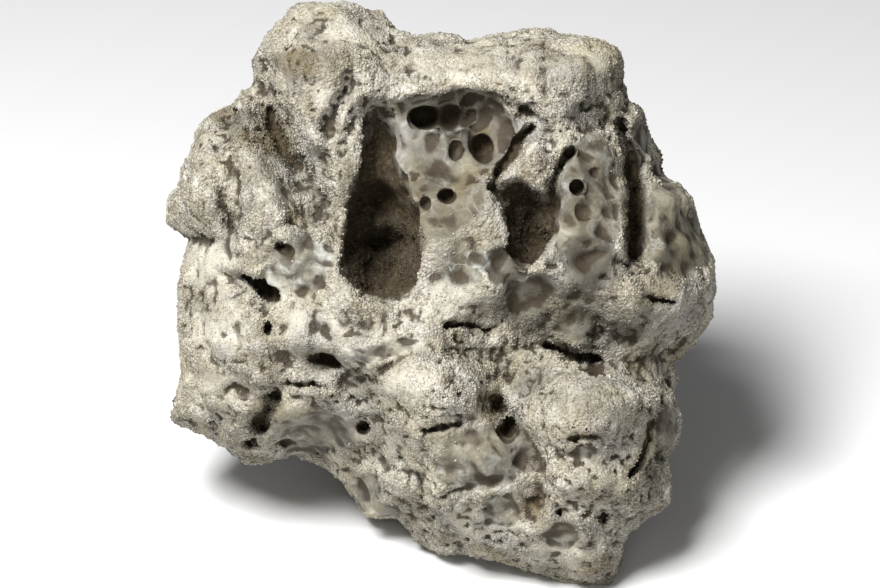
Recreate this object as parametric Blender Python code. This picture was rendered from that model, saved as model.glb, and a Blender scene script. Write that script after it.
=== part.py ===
"""A weathered aquascaping rock: one bored, pitted limestone boulder that stands on a flat spot underneath.

The shape is laid out in millimetres on a face plane, which leans back from upright by FACE_TILT.
On it u runs to the right, v runs up the face and w comes out of it. A pebble of the stone's outline
gets its swells, ledges and grooves, then hollows and borings are cut, and the underside is cut flat.
"""

import math
from typing import NamedTuple

import bmesh
import bpy
import numpy as np

# Driving dimensions, in millimetres unless the name says otherwise
FACE_TILT = math.radians(25)
FACE_HEIGHT = 71.6  # height of the face plane's middle over the ground
BOX_MIDDLE = (-0.4, -6.15)  # where the face plane's middle sits over the ground, x and y
FRONT_THICKNESS = 40.0
BACK_THICKNESS = 60.0
FRONT_ROUNDNESS = 3.2  # 2 is an ellipsoid, more is boxier
BACK_ROUNDNESS = 2.4
OUTLINE_DETAIL_DEPTH = 12.0  # how far the outline's small bumps run into the flanks
CRUST_WAVER = 0.7  # how far edges of the relief wander
LUMP_SIZE = 13.0
LUMP_HEIGHT = 4.5
RIM_FULLNESS = 2.0
OUTLINE_SLACK = 0.5
EYE_DISTANCE = 1369.0  # the outline and the face are laid out as seen from this far in front
FOOT_ROUNDING = 16.0  # the back is drawn in below this height
FOOT_DRAW = 0.4
FOOT_MIDDLE = (-4.0, -52.0, -56.0)  # on the face plane's axes
SLOT_UNEVENNESS = 0.3
MOUTH_TAPER = 0.25  # how much narrower a boring's end is than its mouth
HOLLOW_STEPS = 4  # borings from one station of a hollow to the next
GROUND_SINK = 30.0  # how far the block that cuts the underside reaches down

# Resolution
PEBBLE_SUBDIVISIONS = 6
CUTTER_SUBDIVISIONS = 3
CUTTER_VOXEL = 1.1
STONE_VOXEL = 1.2
MOST_TRIANGLES = 9600

MM = 0.001
STONE_COLOUR = (0.42, 0.38, 0.30, 1.0)
STONE_ROUGHNESS = 0.9

# The stone's outline on the face plane, clockwise from the top left
OUTLINE = (
    (-43, 76.5), (-41.5, 79), (-39, 80), (-33, 80), (-28, 80.2), (-25, 81), (-22.5, 81), (-21, 79.2),
    (-18, 78.8), (-16, 77.8), (-15.2, 76.5), (-15.8, 73.2), (-8, 73.2), (-4, 72.8), (-1, 73.3), (2, 73),
    (4.5, 71.8), (6.3, 70.1), (9, 70.2), (13, 71.3), (21, 72.8), (24, 73.4), (30.2, 73.4), (33, 72),
    (41, 71), (45, 70.2), (47.5, 69), (49.5, 66.5), (50.3, 64), (49.8, 60), (49.3, 58.5), (50.7, 57),
    (51.3, 52.9), (55, 52.2), (56, 49.5), (57.2, 44.5), (60, 40.3), (60.7, 37.5), (60.5, 34),
    (66, 31), (69.8, 27), (71.2, 21), (73.5, 14.5), (75.9, 9.5), (75.9, 3), (75, -6), (73.5, -9.5),
    (71, -12.5), (66, -17.2), (65, -17.7), (63.5, -17.2), (63.2, -19), (65, -20.8), (65.7, -23),
    (64.2, -28), (65.6, -31.5), (66.6, -33.5), (66.7, -38), (65, -42.8), (63, -44.8), (62.9, -46.5),
    (64, -54.5), (63.4, -57.5), (62, -59.3), (57, -62), (54.5, -64.3), (52.3, -65.3), (50.3, -69),
    (49.6, -75), (48.5, -78.5), (47.2, -81.2), (45, -81.3), (41, -81), (36, -80.2), (30, -78.7),
    (21, -75.3), (17, -73.9), (6, -71.3), (2, -72.3), (-1, -71.3), (-5.5, -68.8), (-7.5, -66.5),
    (-9, -63.5), (-13, -61.5), (-16.5, -62.2), (-19.5, -61.7), (-21.5, -60.5), (-22.7, -56),
    (-24.3, -55.3), (-26.5, -51.5), (-30, -49), (-33, -46.8), (-40.5, -44), (-44.5, -45), (-52, -47),
    (-54.8, -46.7), (-55.3, -44.8), (-61, -41.3), (-64.5, -39), (-71, -36.2), (-73, -35.8),
    (-74.2, -34.7), (-73.3, -33), (-73.2, -30.5), (-71.8, -25), (-71, -21), (-72.6, -8), (-71.8, -3),
    (-72.5, 1), (-70.6, 9.5), (-69, 15.5), (-70, 17.2), (-72.5, 17.6), (-75.5, 19), (-76.7, 21.5),
    (-76.3, 24), (-74.8, 28.5), (-72.5, 30), (-71, 36), (-68.3, 41), (-68, 43.5), (-66.8, 46),
    (-64.5, 48.8), (-60, 51), (-57.5, 51.9), (-55, 55.5), (-51.5, 57), (-50.8, 61.5), (-52, 63.2),
    (-51.3, 65.5), (-50, 67), (-49.2, 70), (-46, 73), (-44.8, 75),
)

# How far the outline stands in front of the face plane, by angle in degrees anticlockwise from u
RIM_SHEER = (
    (-180, -10), (-145, -20), (-125, -26), (-108, -20), (-90, -10), (-60, 0), (-30, 2), (0, -8),
    (40, -6), (60, -2), (90, 0), (120, 4), (150, -4), (180, -10),
)


class Swell(NamedTuple):
    """A rounded rise, or with a negative rise a dish. An edge of 1 is soft and 0.2 is steep."""

    at: tuple
    reach: tuple
    rise: float
    turn: float = 0.0
    edge: float = 1.0


class Groove(NamedTuple):
    """A crease along a path, or with a negative depth a rib."""

    path: tuple
    width: float
    depth: float


class Ledge(NamedTuple):
    """An edge along a path: the surface to the right of the path drops, then comes back over a run."""

    path: tuple
    drop: float
    fall: float
    run: float


class Boring(NamedTuple):
    """A hole cut into the face: half widths of its mouth, depth, turn, and lean of its axis in u and v."""

    at: tuple
    mouth: tuple
    depth: float
    turn: float = 0.0
    lean: tuple = (0.0, 0.0)


class Slot(NamedTuple):
    """A cut along a path on the face, with a half width and a depth."""

    path: tuple
    width: float
    depth: float


class Hollow(NamedTuple):
    """A large hollow, by stations along its middle: u, v, half width and depth."""

    stations: tuple


FACE_SWELLS = (
    # cap with its prong, its right end and the shoulder
    Swell((-34, 67), (24, 17), 8.0),
    Swell((-36, 55), (8, 16), 3.0, 25),
    Swell((-25, 77), (6, 4), 1.6),
    Swell((-18, 76), (4, 3.5), 1.2),
    Swell((42, 64), (14, 12), 6.0),
    Swell((18, 64), (28, 9), 3.0),
    Swell((42, 50.5), (7, 5.4), -4.0, 0, 0.35),
    # left bulge and its lower lobe
    Swell((-66, 31), (13, 17), 6.0),
    Swell((-48, 24), (11, 13), 5.0, -20),
    Swell((-64, 10), (11, 9), 3.0),
    Swell((-55, 54), (6, 5), 2.0),
    Swell((-58.5, 49.3), (3.6, 3.2), -6.0, 15, 0.4),
    Swell((-47, 48), (8, 13), -4.0, 15, 0.9),
    Swell((-38.5, 34.5), (4.5, 8), -5.0, 0, 0.7),
    Swell((-51.5, 41), (4.5, 3.2), -3.0),
    Swell((-64, 40), (2, 2.4), -2.2),
    Swell((-59, 19), (1.7, 1.6), -2.0),
    Swell((-55, 22), (1.4, 1.4), -2.5),
    Swell((-44, 16), (5.2, 4.0), 2.2),
    Swell((-45, 13.5), (1.5, 1.6), -2.5),
    Swell((-38, 8), (8.5, 8), 2.6, 0, 0.6),
    # septum between the two hollows, set back under the cap
    Swell((2, 42), (25, 17), -8.0, 0, 0.5),
    Swell((15, 45), (9, 11), -6.0, 0, 0.6),
    Swell((-17.5, 43), (10, 17), -7.0, 0, 1.0),
    Swell((-29, 22), (11, 24), -7.0, 6),
    Swell((8, 20), (14, 18), 2.5),
    Swell((-3, 43), (3.2, 2.6), -1.6),
    Swell((-0.5, 37.5), (2.4, 2), -1.2),
    Swell((18, 43.5), (3.2, 8), -2.6),
    Swell((24.3, 51), (3.6, 3.8), -6.0, 0, 0.5),
    # right column with its dishes
    Swell((42, 22), (11.5, 23), 4.5, 0, 0.8),
    Swell((41, 38), (2.8, 3.6), -2.6),
    Swell((37.5, 35), (1.5, 2), -1.3),
    Swell((40.6, 23), (3.4, 2.6), -3.6, 0, 0.8),
    Swell((42.3, 27.3), (2, 1.6), -1.8),
    Swell((41, 11.3), (7.4, 6.6), -4.6),
    # right lobe, further back, with shallow borings
    Swell((67, 18), (10, 18), -3.0),
    Swell((54.5, 49), (4.5, 5), 2.0),
    Swell((63.5, 21), (1.8, 1.8), -2.2),
    Swell((65.6, 16), (2.2, 3.2), -2.6),
    Swell((70.4, 16), (2.8, 2.4), -3.0),
    Swell((70, 11), (3.0, 2.5), -2.8, -30),
    Swell((65, 9), (2, 1.6), -1.4),
    Swell((62, 7), (3, 2.6), -1.4),
    # facets and block under the right column
    Swell((18.5, 8), (5.5, 4), -2.0, -35, 0.3),
    Swell((25, 0.5), (7.5, 5.5), -2.6, 10, 0.3),
    Swell((10.5, 9.3), (2.2, 2), -1.0, 0, 0.4),
    Swell((37.5, -8), (6.4, 7), 1.6, 0, 0.3),
    Swell((47, -2), (4, 3.2), -2.2),
    Swell((52, -12), (5.5, 4), -3.4),
    # shelf below the main hollow, the lens fold and the lower bulge
    Swell((-10, -18), (32, 13), 7.0),
    Swell((-40, -21), (13, 9), -6.0, 0, 0.8),
    Swell((-14, -17), (14, 3.4), 1.6, 14),
    Swell((-25, -17), (6, 5.5), 2.6, -30, 0.7),
    Swell((-2, -30), (19, 20), 8.0, 0, 0.9),
    Swell((11.5, -22), (2.8, 2.6), 1.6),
    Swell((8, -48), (18, 13), 5.0, 10),
    Swell((14.3, -31), (6.4, 5.4), -7.0, -40, 0.8),
    Swell((18, -34), (5, 9), -7.0, 40, 0.8),
    Swell((24, -25), (13, 14), -8.0, 0),
    Swell((26, -59), (7.5, 7), -6.0, 20, 0.8),
    Swell((14, -61), (2.6, 4.6), -1.8),
    Swell((20, -60), (2, 4.6), -1.8),
    # snout at the lower right, its lower lip and the tip
    Swell((42, -34), (20, 16), 12.0, -8, 0.8),
    Swell((41, -51), (17, 9), 6.0),
    Swell((60, -39), (3.6, 9.5), -5.0, 5),
    Swell((34, -67.5), (5.5, 4.6), -1.6, 20, 0.4),
    Swell((38.5, -58), (2.6, 2.6), -1.4),
    Swell((44, -75), (8, 5), 1.6),
    # lower left: crust shoulder, set back facets, back lip
    Swell((-60, -12), (17, 18), 6.0),
    Swell((-60, -31), (13, 8), 4.0, -20),
    Swell((-36, -40), (15, 9), -6.0, 8, 0.6),
    Swell((-49, -35), (6, 11), -5.0, -25, 0.7),
    Swell((-24, -42), (7, 8), -3.0, 0, 0.6),
    Swell((-18, -51), (13, 12), -4.0, -35, 0.8),
    Swell((-22.7, -31), (2, 1.5), -1.8),
)

FACE_GROOVES = (
    # valleys between the big lumps
    Groove(((16, -22), (18, -30), (20.5, -38), (24.5, -45), (27, -53)), 7.0, 6.0),
    Groove(((-25, -24), (-21, -32), (-18, -38), (-13, -43)), 7.0, 6.0),
    Groove(((-60, 46), (-58.5, 32), (-58, 18)), 4.5, 3.5),
    Groove(((-49, 60), (-47, 50), (-42, 38), (-37, 25)), 9.0, 11.0),
    Groove(((49.5, 48), (52, 42), (54.5, 35), (55.6, 22), (55, 8)), 6.0, 6.0),
    Groove(((-70, -2), (-60, 0), (-51, 0)), 6.0, 2.0),
    Groove(((-12.4, -43), (-9.4, -48), (-5, -51)), 1.8, 3.0),
    # diagonal grooves of the cap's prong
    Groove(((-25, 59), (-28.5, 52.5), (-32.5, 46.5)), 3.6, 4.6),
    Groove(((-24.5, 49), (-27.5, 43), (-27, 38)), 2.4, 3.0),
    Groove(((-43, 58), (-38.5, 51), (-35, 42)), 3.4, -2.2),
    Groove(((-60.5, 28), (-59.4, 22.5), (-59.3, 18)), 1.6, 2.2),
    Groove(((-48.5, 18.5), (-43, 20.3), (-38.5, 18.3), (-36, 14.5), (-38.5, 12.6)), 1.6, 3.4),
    # crack under the cap
    Groove(((6.2, 52.5), (8, 55.8), (12, 56.8), (16.5, 56.3), (22, 54.3)), 1.4, 3.4),
    # outline of the squarish block under the right column
    Groove(((36, -4), (38, -0.4), (41, -1.4), (43.6, -5.4), (43.8, -12.5)), 1.4, 3.0),
    # edge between the facets
    Groove(((12, 7), (14, 3.4), (17.4, 2), (20.5, 3.6), (26, 5.8), (30.6, 10.6)), 1.2, -1.5),
    # fold lines of the shelf
    Groove(((-18, -17), (-14, -15), (-9, -13.6), (-3, -12.6), (0, -11.4)), 1.4, 2.0),
    Groove(((-22.5, -23.7), (-19, -24), (-16, -21.2), (-12, -18.6), (-7.6, -16.6)), 1.6, 3.4),
    Groove(((33, -73), (38, -70.2), (43.4, -69)), 1.4, 2.2),
)

FACE_LEDGES = (
    # the long slope under the right column, which falls back to the cave
    Ledge(((13, 6), (20, 9), (30, 8), (41, 6), (52, 3), (66, -3)), 16.0, 22.0, 6),
    # the slope below the shelf's right end
    Ledge(((3, -10), (12, -13), (22, -13)), 5.0, 8.0, 8),
    # cap over the septum, from the main hollow to the crack and on to the shoulder
    Ledge(((-20, 55.6), (-15, 56.4), (-8, 54.4), (0, 53.6), (6, 53), (8, 56.4)), 4.0, 1.4, 12),
    Ledge(((6, 53), (8, 56.4), (16, 56.8), (24, 54.4), (31, 50)), 5.0, 1.4, 12),
    # cap over the left recess
    Ledge(((-52, 60), (-46, 59), (-41, 52), (-37, 43), (-33, 41)), 5.0, 1.6, 10),
    # overhang under the left block
    Ledge(((-56, 7), (-50.5, 3.4), (-47.6, 0.6), (-46.2, -3.4)), 6.5, 1.2, 8),
    # shelf's left end over its hollow
    Ledge(((-29.4, -9.6), (-28.6, -13), (-29.4, -16.4), (-26.6, -19.6), (-22.4, -23.4)), 6.0, 1.2, 9),
    # brow over the cave, beside the snout
    Ledge(((28, -14), (35, -16.6), (41, -16.8), (45.4, -18.2), (49, -21.6)), 5.0, 1.4, 8),
    # crust edges over the smooth stone below
    Ledge(((-41, -34), (-33, -34.6), (-24, -34.4), (-20, -33)), 3.4, 1.0, 8),
    Ledge(((-58, -24), (-52, -25), (-46, -24), (-40, -25.5), (-34, -28)), 5.0, 1.4, 11),
    Ledge(((-14, -41.5), (-8, -47), (-5, -49.4), (-3, -53), (-2.6, -58), (0, -61), (6, -64.4)), 6.0, 2.0, 14),
    # snout over the lobes behind it
    Ledge(((54, -51), (57, -46.6), (58.6, -40), (58.6, -30), (60, -24)), 7.0, 1.6, 10),
    # left bulge over the lobe under it
    Ledge(((-77, 19.4), (-72, 18), (-66, 18.4), (-60, 16)), 4.0, 1.4, 8),
)

FACE_HOLLOWS = (
    # main hollow, like a drop, and the second one behind the hanging tongue
    Hollow(((-16.2, 8.8, 13.4, 36), (-16.5, 15, 14.2, 40), (-16.8, 22, 12.6, 36), (-17.8, 30, 8.8, 26),
            (-18.0, 38, 6.2, 16), (-16.8, 49, 5.4, 8))),
    Hollow(((25.2, 10.5, 4.2, 16), (25.4, 15.5, 8.0, 26), (24.6, 22, 8.4, 24), (21.6, 27, 6.4, 16))),
    # long slot beside the right column
    Hollow(((50.8, 47.5, 2.6, 12), (52.2, 42, 2.8, 12), (53.8, 36, 3.0, 13), (54.8, 29, 3.4, 15),
            (54.8, 20, 3.4, 15), (54.2, 11, 3.0, 13))),
    # left recess under the cap
    Hollow(((-47.4, 51, 2.4, 7), (-46.6, 47, 3.6, 10), (-44.6, 42, 3.2, 9), (-40.4, 36, 3.4, 9))),
)

FACE_BORINGS = (
    # slot of two holes and single holes of the septum
    Boring((-4.4, 49.6), (5.2, 3.8), 13, 0),
    Boring((2.8, 49.4), (4.4, 3.8), 9, 0),
    Boring((4.4, 40), (2.0, 3.5), 7, -12),
    Boring((12, 41), (3.8, 5.2), 10, 8),
    Boring((1.8, 27.5), (2.8, 2.5), 9, 0),
    # right column
    Boring((38.5, 30), (2.3, 2.3), 9, 0),
    Boring((44, 34), (2.2, 1.6), 6, 0),
    # cave under the brow
    Boring((42.5, -20), (6.4, 3.4), 15, -24, (0.0, 0.25)),
    # left side
    Boring((-48, -9.7), (2.3, 2.9), 11, 0),
    Boring((-32, -19.4), (6.2, 3.2), 11, -24, (0.0, 0.2)),
    Boring((-46.4, -29.6), (4.0, 3.6), 11, 30, (0.0, 0.3)),
    # lower middle and lower right
    Boring((19.6, -37), (3.0, 3.4), 12, -30, (0.0, 0.2)),
    Boring((-21, -37), (2.8, 2.8), 8, 0),
    Boring((33.6, -60.8), (2.9, 3.0), 10, 0),
    Boring((46, -62.5), (2.8, 3.2), 9, 0),
    Boring((61.5, -29), (2.6, 1.9), 7, 0),
)

FACE_SLOTS = (
    # crescent and slot beside the hanging tongue
    Slot(((25.5, 46.6), (21.6, 42.2), (19, 37.5), (15.8, 33.5), (14.9, 30.3), (16.4, 26.8)), 2.2, 13),
    Slot(((36.2, 40), (33.4, 36.6), (31.6, 31.5), (31.4, 24)), 1.7, 11),
    Slot(((58, -0.6), (60.6, -1.8), (65, -2.4)), 1.7, 8),
    # slit that runs into the cave
    Slot(((29.4, -14.4), (34, -15.8), (39, -18)), 2.2, 11),
    # slot under the left block
    Slot(((-55, 4.8), (-51, 2.4), (-47.6, -1.0)), 2.4, 10),
    # slit over the shelf, slits of the snout and the lower bulge
    Slot(((1.4, -9.2), (4.4, -8.6), (9.2, -8.8), (12, -10), (14, -11)), 1.6, 7),
    Slot(((36.6, -40.6), (40, -39.8), (46, -40)), 1.6, 7),
    Slot(((-4.6, -38.4), (-1, -37.4), (5.6, -36.4)), 1.6, 7),
    Slot(((58.6, -32), (58.6, -40), (56, -46.6), (53.4, -50.4)), 1.8, 8),
    # overhung slots and the diagonal recess at the lower left
    Slot(((-43, -24.6), (-39, -25.6), (-35, -25.2), (-31.6, -26.6)), 1.7, 8),
    Slot(((-45.8, -28.4), (-48, -32), (-51, -36.8), (-53.6, -41)), 3.3, 10),
)

# The back, seen from behind: u runs to the right there, so it is turned round against the face's
BACK_SWELLS = (
    Swell((-30, 30), (26, 22), 7.0, 20),
    Swell((34, 44), (24, 18), 6.0, -15),
    Swell((18, -8), (26, 20), 8.0, 10),
    Swell((-40, -20), (22, 18), 6.0, -20),
    Swell((-4, 56), (18, 10), -5.0, 5, 0.7),
    Swell((-8, 12), (13, 16), -9.0, -25, 0.6),
    Swell((50, 10), (9, 14), -6.0, 15, 0.6),
    Swell((-60, 6), (7, 10), -5.0, 0, 0.7),
    Swell((40, -34), (12, 8), -5.0, 20, 0.6),
    Swell((-14, -34), (14, 7), -6.0, -10, 0.5),
    Swell((8, 33), (6, 5), -3.0, 0, 0.6),
)

BACK_GROOVES = (
    Groove(((-52, 34), (-38, 26), (-26, 8), (-22, -8)), 2.6, 4.0),
    Groove(((10, 62), (18, 48), (16, 34), (24, 22), (40, 16)), 2.2, 4.0),
    Groove(((-8, -14), (4, -22), (20, -26), (36, -22)), 2.2, 4.0),
    Groove(((-66, -16), (-54, -10), (-44, -12)), 1.8, 3.0),
)

BACK_LEDGES = (
    Ledge(((-58, 20), (-40, 14), (-24, 18), (-12, 30)), 4.6, 1.6, 12),
    Ledge(((-6, 2), (8, 8), (24, 4), (38, 8), (54, 0)), 5.0, 1.6, 14),
    Ledge(((-50, -34), (-32, -30), (-16, -26), (0, -32)), 4.0, 1.6, 10),
)

BACK_BORINGS = (
    Boring((-10, 13), (6.0, 9.0), 18, -25),
    Boring((33, 30), (4.4, 3.4), 12, 10),
    Boring((-46, 42), (3.4, 2.6), 9, 0),
    Boring((52, 12), (3.6, 5.4), 12, 15),
    Boring((-30, -4), (2.8, 2.8), 9, 0),
    Boring((12, -16), (3.2, 2.4), 9, -20),
    Boring((-58, -8), (2.6, 3.2), 8, 0),
    Boring((26, 54), (2.8, 2.4), 8, 0),
    Boring((-14, -34), (7.0, 3.4), 14, -10),
)


def smooth_step(value):
    """0 below 0, 1 above 1, and a smooth rise between."""
    value = np.clip(value, 0.0, 1.0)
    return value * value * (3.0 - 2.0 * value)


def noise(points, size, seed):
    """Smooth noise from -1 to 1 at points in millimetres, with features about size wide."""
    table = np.random.default_rng(seed).uniform(-1.0, 1.0, 4096)
    scaled = points / size
    cell = np.floor(scaled).astype(np.int64)
    blend = smooth_step(scaled - cell)
    total = np.zeros(len(points))
    for corner in np.ndindex(2, 2, 2):
        x, y, z = (cell + corner).T
        value = table[(x * 73856093 ^ y * 19349663 ^ z * 83492791) & 4095]
        total += value * np.prod(np.where(corner, blend, 1.0 - blend), axis=1)
    return total


def layered_noise(points, size, layers, seed):
    """Noise of several sizes, each half the one before in size and in height."""
    return sum(noise(points, size / 2**layer, seed + layer) / 2**layer for layer in range(layers))


def lumpy(points):
    """Rounded lumps of three sizes with sharp creases between them."""
    sizes = ((LUMP_SIZE, 41), (LUMP_SIZE / 2, 42), (LUMP_SIZE / 4, 43))
    return sum(np.abs(noise(points, size, seed)) * LUMP_HEIGHT * size / LUMP_SIZE for size, seed in sizes)


def outline_radius():
    """Distance of the outline from the middle, for every half degree from -180."""
    points = np.array(OUTLINE + OUTLINE[:1], float)
    steps = np.linspace(0.0, 1.0, 60, endpoint=False)[:, None]
    dense = np.concatenate([a + (b - a) * steps for a, b in zip(points, points[1:])])
    radius = np.zeros(720)
    angle = np.degrees(np.arctan2(dense[:, 1], dense[:, 0]))
    np.maximum.at(radius, np.floor((angle + 180.0) * 2.0).astype(int) % 720, np.hypot(*dense.T))
    known = np.flatnonzero(radius)
    return np.interp(np.arange(720), known, radius[known], period=720)


def turned_mean(values, reach):
    """Mean over reach samples to each side, round the circle."""
    return np.mean([np.roll(values, shift) for shift in range(-reach, reach + 1)], axis=0)


def inner_radius(radius):
    """The outline without its small bumps, nowhere outside it."""
    low = np.min([np.roll(radius, shift) for shift in range(-9, 10)], axis=0)
    return turned_mean(low, 9)


OUTER = outline_radius()
INNER = inner_radius(OUTER)


def by_angle(values, angle):
    """Value at an angle in degrees from a half-degree table."""
    return np.interp((angle + 180.0) * 2.0, np.arange(720), values, period=720)


def rim_sheer(angle):
    degrees, sheer = zip(*RIM_SHEER)
    table = turned_mean(np.interp(np.arange(720) / 2.0 - 180.0, degrees, sheer), 16)
    return by_angle(table, angle)


def inside_ellipse(u, v, shape):
    """How far inside a swell each point is: 1 at the middle, 0 from its edge on."""
    turn = math.radians(shape.turn)
    along = (u - shape.at[0]) * math.cos(turn) + (v - shape.at[1]) * math.sin(turn)
    across = (v - shape.at[1]) * math.cos(turn) - (u - shape.at[0]) * math.sin(turn)
    distance = np.hypot(along / shape.reach[0], across / shape.reach[1])
    return smooth_step((1.0 - distance) / shape.edge)


def path_distance(u, v, path):
    """Distance to a path, and the same with a sign: positive to the left of it."""
    nearest = np.full(u.shape, np.inf)
    signed = np.zeros(u.shape)
    for (u0, v0), (u1, v1) in zip(path, path[1:]):
        du, dv = u1 - u0, v1 - v0
        length = math.hypot(du, dv)
        share = np.clip(((u - u0) * du + (v - v0) * dv) / length**2, 0.0, 1.0)
        distance = np.hypot(u - u0 - share * du, v - v0 - share * dv)
        side = (du * (v - v0) - dv * (u - u0)) / length
        closer = distance < nearest
        nearest = np.where(closer, distance, nearest)
        signed = np.where(closer, side, signed)
    return nearest, signed


def near(u, v, path, reach):
    """Indices of the points within reach of a path's box."""
    low = np.min(path, axis=0) - reach
    high = np.max(path, axis=0) + reach
    return np.flatnonzero((u > low[0]) & (u < high[0]) & (v > low[1]) & (v < high[1]))


def relief(u, v, swells, grooves, ledges):
    """Height of the relief at points on a face."""
    height = np.zeros(u.shape)
    for shape in swells:
        reach = max(shape.reach)
        at = near(u, v, (shape.at,), reach)
        height[at] += shape.rise * inside_ellipse(u[at], v[at], shape)
    for shape in grooves:
        at = near(u, v, shape.path, shape.width)
        distance, _ = path_distance(u[at], v[at], shape.path)
        height[at] -= shape.depth * smooth_step((1.0 - distance / shape.width) * 1.4)
    for shape in ledges:
        reach = shape.fall + shape.run
        at = near(u, v, shape.path, reach)
        distance, signed = path_distance(u[at], v[at], shape.path)
        ends = np.abs(signed) / np.maximum(distance, 1e-6)
        below = np.where(signed < 0, distance, 0.0)
        drop = smooth_step(below / shape.fall) * smooth_step((reach - below) / shape.run)
        height[at] -= shape.drop * drop * smooth_step(ends * 1.5 - 0.5)
    return height


def face_relief(u, v):
    return relief(u, v, FACE_SWELLS, FACE_GROOVES, FACE_LEDGES)


def back_relief(u, v):
    return relief(-u, v, BACK_SWELLS, BACK_GROOVES, BACK_LEDGES)


def pebble_height(u, v, thickness):
    """Height of the plain pebble over the face plane, without relief."""
    angle = np.degrees(np.arctan2(v, u))
    share = np.clip(np.hypot(u, v) / by_angle(INNER, angle), 0.0, 0.98)
    side = math.copysign(1.0, thickness)
    roundness = FRONT_ROUNDNESS if side > 0 else BACK_ROUNDNESS
    rise = abs(thickness) * (1.0 - share**roundness) ** (1.0 / roundness)
    return side * rise + rim_sheer(angle) * share**3


def stone_points(directions):
    """The stone's surface on the face plane's axes, for each direction of a unit sphere."""
    x, y, z = directions.T
    angle = np.degrees(np.arctan2(y, x))
    flat = np.hypot(x, y)
    roundness = np.where(z > 0, FRONT_ROUNDNESS, BACK_ROUNDNESS)
    share = flat ** (2.0 / roundness)
    thickness = np.where(z > 0, FRONT_THICKNESS, BACK_THICKNESS)
    w = np.sign(z) * thickness * np.abs(z) ** (2.0 / roundness)
    detail = np.exp(-((w / OUTLINE_DETAIL_DEPTH) ** 2))
    radius = by_angle(INNER, angle) * (1.0 - detail) + by_angle(OUTER, angle) * detail
    u = radius * share * x / np.maximum(flat, 1e-9)
    v = radius * share * y / np.maximum(flat, 1e-9)
    w = w + rim_sheer(angle) * share**3
    points = np.column_stack([u, v, w])
    waver_u = noise(points, 3.5, 21) * CRUST_WAVER
    waver_v = noise(points, 3.5, 22) * CRUST_WAVER
    front = smooth_step(z / 0.15)
    back = smooth_step(-z / 0.25)
    lift = face_relief(u + waver_u, v + waver_v) * front
    lift -= back_relief(u + 2 * waver_u, v + 2 * waver_v) * back
    points[:, 2] += lift
    outward = directions * np.array([1.0, 1.0, 0.7])
    outward /= np.linalg.norm(outward, axis=1)[:, None]
    flank = 1.0 - smooth_step((z - 0.05) / 0.3)
    rough = layered_noise(points, 30.0, 3, 5) * 3.4 * flank + lumpy(points) - LUMP_HEIGHT / 2
    rough += RIM_FULLNESS * (1.0 - smooth_step(np.abs(z) / 0.4))
    points += outward * rough[:, None]
    points = drawn_in_at_foot(points, back)
    return held_in_outline(points)


def drawn_in_at_foot(points, back):
    """The back's lower end, rounded towards the spot that the stone stands on."""
    under = np.clip(1.0 - height_over_ground(points) / FOOT_ROUNDING, 0.0, 1.0) ** 2
    return points + (np.array(FOOT_MIDDLE) - points) * (FOOT_DRAW * under * back)[:, None]


def held_in_outline(points):
    """Whatever stands out past the outline is brought back to it."""
    u, v, w = points.T
    limit = by_angle(OUTER, np.degrees(np.arctan2(v, u))) + OUTLINE_SLACK
    share = np.minimum(1.0, limit / np.maximum(np.hypot(u, v), 1e-6))
    return np.column_stack([u * share, v * share, w])


def height_over_ground(points):
    return points[:, 1] * math.cos(FACE_TILT) + points[:, 2] * math.sin(FACE_TILT) + FACE_HEIGHT


def to_world(points):
    """From the face plane's u, v and w to x, y and z over the ground, in metres."""
    closer = 1.0 - points[:, 2] / EYE_DISTANCE
    points = points * np.column_stack([closer, closer, np.ones(len(points))])
    u, v, w = points.T
    x = u + BOX_MIDDLE[0]
    y = v * math.sin(FACE_TILT) - w * math.cos(FACE_TILT) + BOX_MIDDLE[1]
    return np.column_stack([x, y, height_over_ground(points)]) * MM


def sphere_directions(subdivisions):
    """Points and triangles of a unit icosphere."""
    mesh = bmesh.new()
    bmesh.ops.create_icosphere(mesh, subdivisions=subdivisions, radius=1.0)
    points = np.array([vertex.co for vertex in mesh.verts])
    faces = np.array([[vertex.index for vertex in face.verts] for face in mesh.faces])
    mesh.free()
    return points / np.linalg.norm(points, axis=1)[:, None], faces


def cutter_points(boring, directions, thickness, relief_at):
    """An egg round a boring's axis: its mouth stands out of the face, its end lies at the depth."""
    side = math.copysign(1.0, thickness)
    u = np.array([boring.at[0] * side])
    v = np.array([boring.at[1]])
    face = pebble_height(u, v, thickness) + side * relief_at(u, v)
    turn = math.radians(boring.turn)
    taper = 1.0 - MOUTH_TAPER * (1.0 - directions[:, 2]) / 2.0
    across = directions[:, 0] * boring.mouth[0] * taper
    upward = directions[:, 1] * boring.mouth[1] * taper
    travel = directions[:, 2] * boring.depth
    along_u = across * math.cos(turn) - upward * math.sin(turn) - boring.lean[0] * travel
    along_v = across * math.sin(turn) + upward * math.cos(turn) - boring.lean[1] * travel
    offset = np.column_stack([side * along_u, along_v, side * travel])
    middle = np.array([u[0], v[0], face[0]])
    bumps = noise(middle + offset, 7.0, 31) * 0.2 + noise(middle + offset, 3.5, 32) * 0.12
    return middle + offset * (1.0 + bumps)[:, None]


def slot_borings(slot):
    """The borings that make a slot: a row of them along its path."""
    row = []
    for start, end in zip(slot.path, slot.path[1:]):
        run = math.dist(start, end)
        count = max(2, math.ceil(run / (slot.width * 0.8)))
        for share in np.linspace(0.0, 1.0, count):
            at = tuple(a + (b - a) * share for a, b in zip(start, end))
            place = np.array([[*at, 0.0]])
            width = slot.width * (1.0 + SLOT_UNEVENNESS * noise(place, 4.0, 51)[0])
            row.append(Boring(at, (width, width), slot.depth))
    return row


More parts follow.
